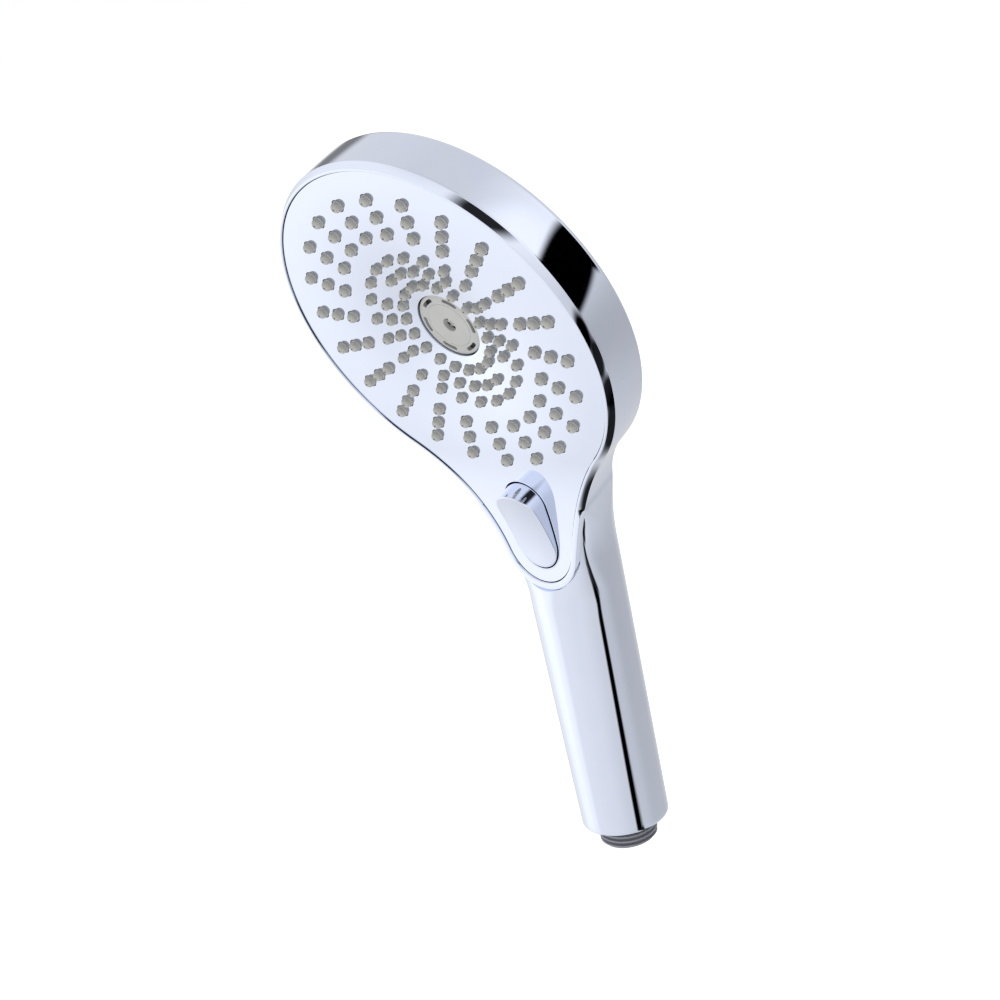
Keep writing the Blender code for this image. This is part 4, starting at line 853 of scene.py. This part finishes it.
def dress(piece, look, body, *nodes):
    """Gives a piece its finish and its body, and lets it stand for its CAD nodes."""
    piece.data.materials.clear()
    piece.data.materials.append(look)
    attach(piece, body)
    if nodes:
        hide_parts(*nodes)


dress(make_shell(), CHROME, "body", "back_shell")
dress(make_ring(), CHROME, "body", "front_ring")
dress(make_plate(), MIRROR, "body", "face_plate")
dress(make_lip(), CHROME, "body")
outer_nozzles, inner_nozzles = make_nozzles()
dress(outer_nozzles, SILICONE, "body", "nozzle_mat_outer")
dress(inner_nozzles, SILICONE, "body", "nozzle_mat_inner")
dress(make_disc(), SATIN_GREY, "body", "centre_disc")
dress(make_button(), CHROME, "button", "button")
dress(make_inlet(), SATIN_NICKEL, "body", "inlet_tube")

for look, nodes in (
    (ACETAL, ("turbine", "diverter_disc", "ratchet_wheel", "pawl_slider", "flow_restrictor")),
    (FILLED_NYLON, ("spray_body", "chamber_lid", "handle_bush")),
    (RUBBER, ("valve_seat", "body_seal", "tube_seal")),
    (STEEL, ("turbine_axle", "spindle_clip", "button_pin", "button_spring", "lid_screw_1",
             "lid_screw_2", "lid_screw_3", "lid_screw_4")),
    (MESH, ("filter_screen",)),
):
    for node in nodes:
        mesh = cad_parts[node].data
        mesh.materials.clear()
        mesh.materials.append(look)


# ---------------------------------------------------------------- floor, light and camera

def make_floor():
    """A plain pale floor, 8 m across, 0.4 m under the object."""
    turn = np.linspace(0.0, 2.0 * math.pi, 64, endpoint=False)
    rows = [np.stack([r * np.cos(turn), r * np.sin(turn), np.full(64, -0.4)], 1)
            for r in (0.0, 0.5, 8.0)]
    floor = solid("floor", [(np.stack(rows), quads(3, 64, False, True))])
    look = bpy.data.materials.new("white_floor")
    look.use_nodes = True
    shader = look.node_tree.nodes["Principled BSDF"]
    shader.inputs["Base Color"].default_value = linear("#F4F4F4")
    shader.inputs["Roughness"].default_value = 0.9
    shader.inputs["Emission Color"].default_value = linear("#FFFFFF")
    shader.inputs["Emission Strength"].default_value = 0.5
    floor.data.materials.append(look)
    floor.visible_glossy = False


def soft_flag(tree, direction, azimuth, elevation, lean, half_width, half_height, soft, inside):
    """A soft-edged oval in the studio light, in degrees: its factor is inside within it and
    1 outside. The direction is turned so that the oval's middle lies on +X, and leaned."""
    turned = add_node(tree, "ShaderNodeVectorRotate",
                      {"Vector": direction, "Axis": (0.0, 0.0, 1.0),
                       "Angle": math.radians(90.0 - azimuth)})
    level = add_node(tree, "ShaderNodeVectorRotate",
                     {"Vector": turned.outputs["Vector"], "Axis": (0.0, 1.0, 0.0),
                      "Angle": math.radians(elevation)})
    leaned = add_node(tree, "ShaderNodeVectorRotate",
                      {"Vector": level.outputs["Vector"], "Axis": (1.0, 0.0, 0.0),
                       "Angle": math.radians(lean)})
    parts = add_node(tree, "ShaderNodeSeparateXYZ", {"Vector": leaned.outputs["Vector"]})
    turn = add_node(tree, "ShaderNodeMath", {0: parts.outputs["Y"], 1: parts.outputs["X"]},
                    operation="ARCTAN2")
    across = add_node(tree, "ShaderNodeMath", {0: turn.outputs[0], 1: math.radians(half_width)},
                      operation="DIVIDE")
    rise = add_node(tree, "ShaderNodeMath", {0: parts.outputs["Z"]}, operation="ARCSINE")
    along = add_node(tree, "ShaderNodeMath", {0: rise.outputs[0], 1: math.radians(half_height)},
                     operation="DIVIDE")
    both = add_node(tree, "ShaderNodeCombineXYZ", {"X": across.outputs[0],
                                                   "Y": along.outputs[0]})
    size = add_node(tree, "ShaderNodeVectorMath", {0: both.outputs["Vector"]},
                    operation="LENGTH")
    edge = add_node(tree, "ShaderNodeMapRange",
                    {"Value": size.outputs["Value"], "From Min": 1.0 - soft,
                     "From Max": 1.0 + soft, "To Min": inside, "To Max": 1.0},
                    interpolation_type="SMOOTHSTEP")
    return edge.outputs["Result"]


def light_round(tree, factor, levels):
    """Light level against azimuth in degrees, smooth between the given (azimuth, level).

    A colour ramp holds at most 1, so the levels are halved in it.
    """
    made = add_node(tree, "ShaderNodeValToRGB", {"Fac": factor})
    made.color_ramp.interpolation = "EASE"
    stops = made.color_ramp.elements
    while len(stops) > 1:
        stops.remove(stops[-1])
    for number, (azimuth, level) in enumerate(levels):
        stop = stops[0] if number == 0 else stops.new((azimuth + 180.0) / 360.0)
        stop.position = (azimuth + 180.0) / 360.0
        stop.color = (level / 2.0, level / 2.0, level / 2.0, 1.0)
    return made.outputs["Color"]


def by_height(tree, rise, low, high, below, above):
    """A smooth change with elevation, in degrees, from one light level to another."""
    share = add_node(tree, "ShaderNodeMapRange",
                     {"Value": rise, "From Min": math.radians(low),
                      "From Max": math.radians(high)}, interpolation_type="SMOOTHSTEP")
    mixed = add_node(tree, "ShaderNodeMix", {0: share.outputs["Result"], 2: below, 3: above})
    return mixed.outputs[0]


# Light round the studio as (azimuth, level): under the object, a little below its height,
# and above it. Azimuth is 0 along -Y and 90 along +X.
LIGHT_UNDER = ((-180, 0.74), (-90, 0.72), (-60, 0.74), (-30, 0.84), (0, 0.84), (35, 0.74),
               (70, 0.62), (105, 0.80), (180, 0.74))
LIGHT_BELOW = ((-180, 0.54), (-150, 0.66), (-120, 0.80), (-90, 1.0), (-75, 1.20), (-60, 1.24),
               (-45, 1.12), (-30, 0.92), (15, 0.86), (60, 0.76), (90, 0.62), (130, 0.50),
               (180, 0.52))
LIGHT_ABOVE = ((-180, 0.74), (-120, 0.78), (-80, 1.0), (0, 1.0), (90, 1.05), (121, 1.12),
               (134, 0.95), (160, 0.8), (180, 0.74))
# Black flags: azimuth, elevation, lean, half width, half height, softness, what is left
FLAGS = (
    (73.5, -29.0, 0.0, 6.2, 12.5, 0.35, 0.0),
    (84.0, -43.0, -12.0, 5.5, 13.0, 0.35, 0.02),
    (104.0, -60.0, -25.0, 8.0, 11.0, 0.35, 0.02),
    (155.0, -68.0, 0.0, 24.0, 8.0, 0.35, 0.02),
    (118.5, 9.0, 28.0, 12.5, 26.0, 0.14, 0.0),
    (-123.5, 10.0, 0.0, 9.0, 9.0, 0.6, 0.30),
    (40.0, 38.0, 0.0, 20.0, 14.0, 0.4, 0.02),
)


def make_world():
    """A pale studio: a broad white light on the left, a dimmer one in front, a pale grey
    wall behind on the right, and black flags that draw the chrome's dark lines.
    The camera itself sees plain white."""
    world = bpy.data.worlds.new("studio")
    world.use_nodes = True
    bpy.context.scene.world = world
    tree = world.node_tree
    background = tree.nodes["Background"]
    way = add_node(tree, "ShaderNodeTexCoord", {}).outputs["Generated"]
    parts = add_node(tree, "ShaderNodeSeparateXYZ", {"Vector": way})
    ahead = add_node(tree, "ShaderNodeMath", {0: parts.outputs["Y"], 1: -1.0},
                     operation="MULTIPLY")
    turn = add_node(tree, "ShaderNodeMath", {0: parts.outputs["X"], 1: ahead.outputs[0]},
                    operation="ARCTAN2")
    share = add_node(tree, "ShaderNodeMapRange",
                     {"Value": turn.outputs[0], "From Min": -math.pi, "From Max": math.pi})
    under, below, above = [light_round(tree, share.outputs["Result"], levels)
                           for levels in (LIGHT_UNDER, LIGHT_BELOW, LIGHT_ABOVE)]
    rise = add_node(tree, "ShaderNodeMath", {0: parts.outputs["Z"]}, operation="ARCSINE")
    light = by_height(tree, rise.outputs[0], -56.0, -19.0, under, below)
    light = by_height(tree, rise.outputs[0], -16.0, 30.0, light, above)
    light = by_height(tree, rise.outputs[0], 45.0, 75.0, light, 0.37)
    light = add_node(tree, "ShaderNodeMath", {0: light, 1: 2.0}, operation="MULTIPLY").outputs[0]
    for flag in FLAGS:
        light = add_node(tree, "ShaderNodeMath",
                         {0: light, 1: soft_flag(tree, way, *flag)},
                         operation="MULTIPLY").outputs[0]
    seen = add_node(tree, "ShaderNodeLightPath", {})
    level = add_node(tree, "ShaderNodeMix",
                     {0: seen.outputs["Is Camera Ray"], 2: light, 3: 1.0})
    tree.links.new(level.outputs[0], background.inputs["Strength"])
    background.inputs["Color"].default_value = (1.0, 1.0, 1.0, 1.0)


def make_camera():
    """A 75 mm view from the front right and above, with the camera rolled clockwise."""
    lens = bpy.data.cameras.new("camera")
    lens.lens = 75.23
    lens.sensor_width = 36.0
    lens.sensor_fit = "HORIZONTAL"
    lens.clip_start = 0.01
    lens.clip_end = 50.0
    camera = bpy.data.objects.new("camera", lens)
    right = (0.707922, 0.673613, -0.212348)
    up = (-0.092141, 0.386164, 0.917817)
    back = (0.700254, -0.630178, 0.335441)
    place = (0.48186, -0.45841, 0.37223)
    camera.matrix_world = Matrix(np.column_stack([right, up, back, place]).tolist()).to_4x4()
    bpy.context.scene.collection.objects.link(camera)
    bpy.context.scene.camera = camera


make_floor()
make_world()
make_camera()
bpy.context.scene.view_settings.view_transform = "Standard"
bpy.context.view_layer.update()
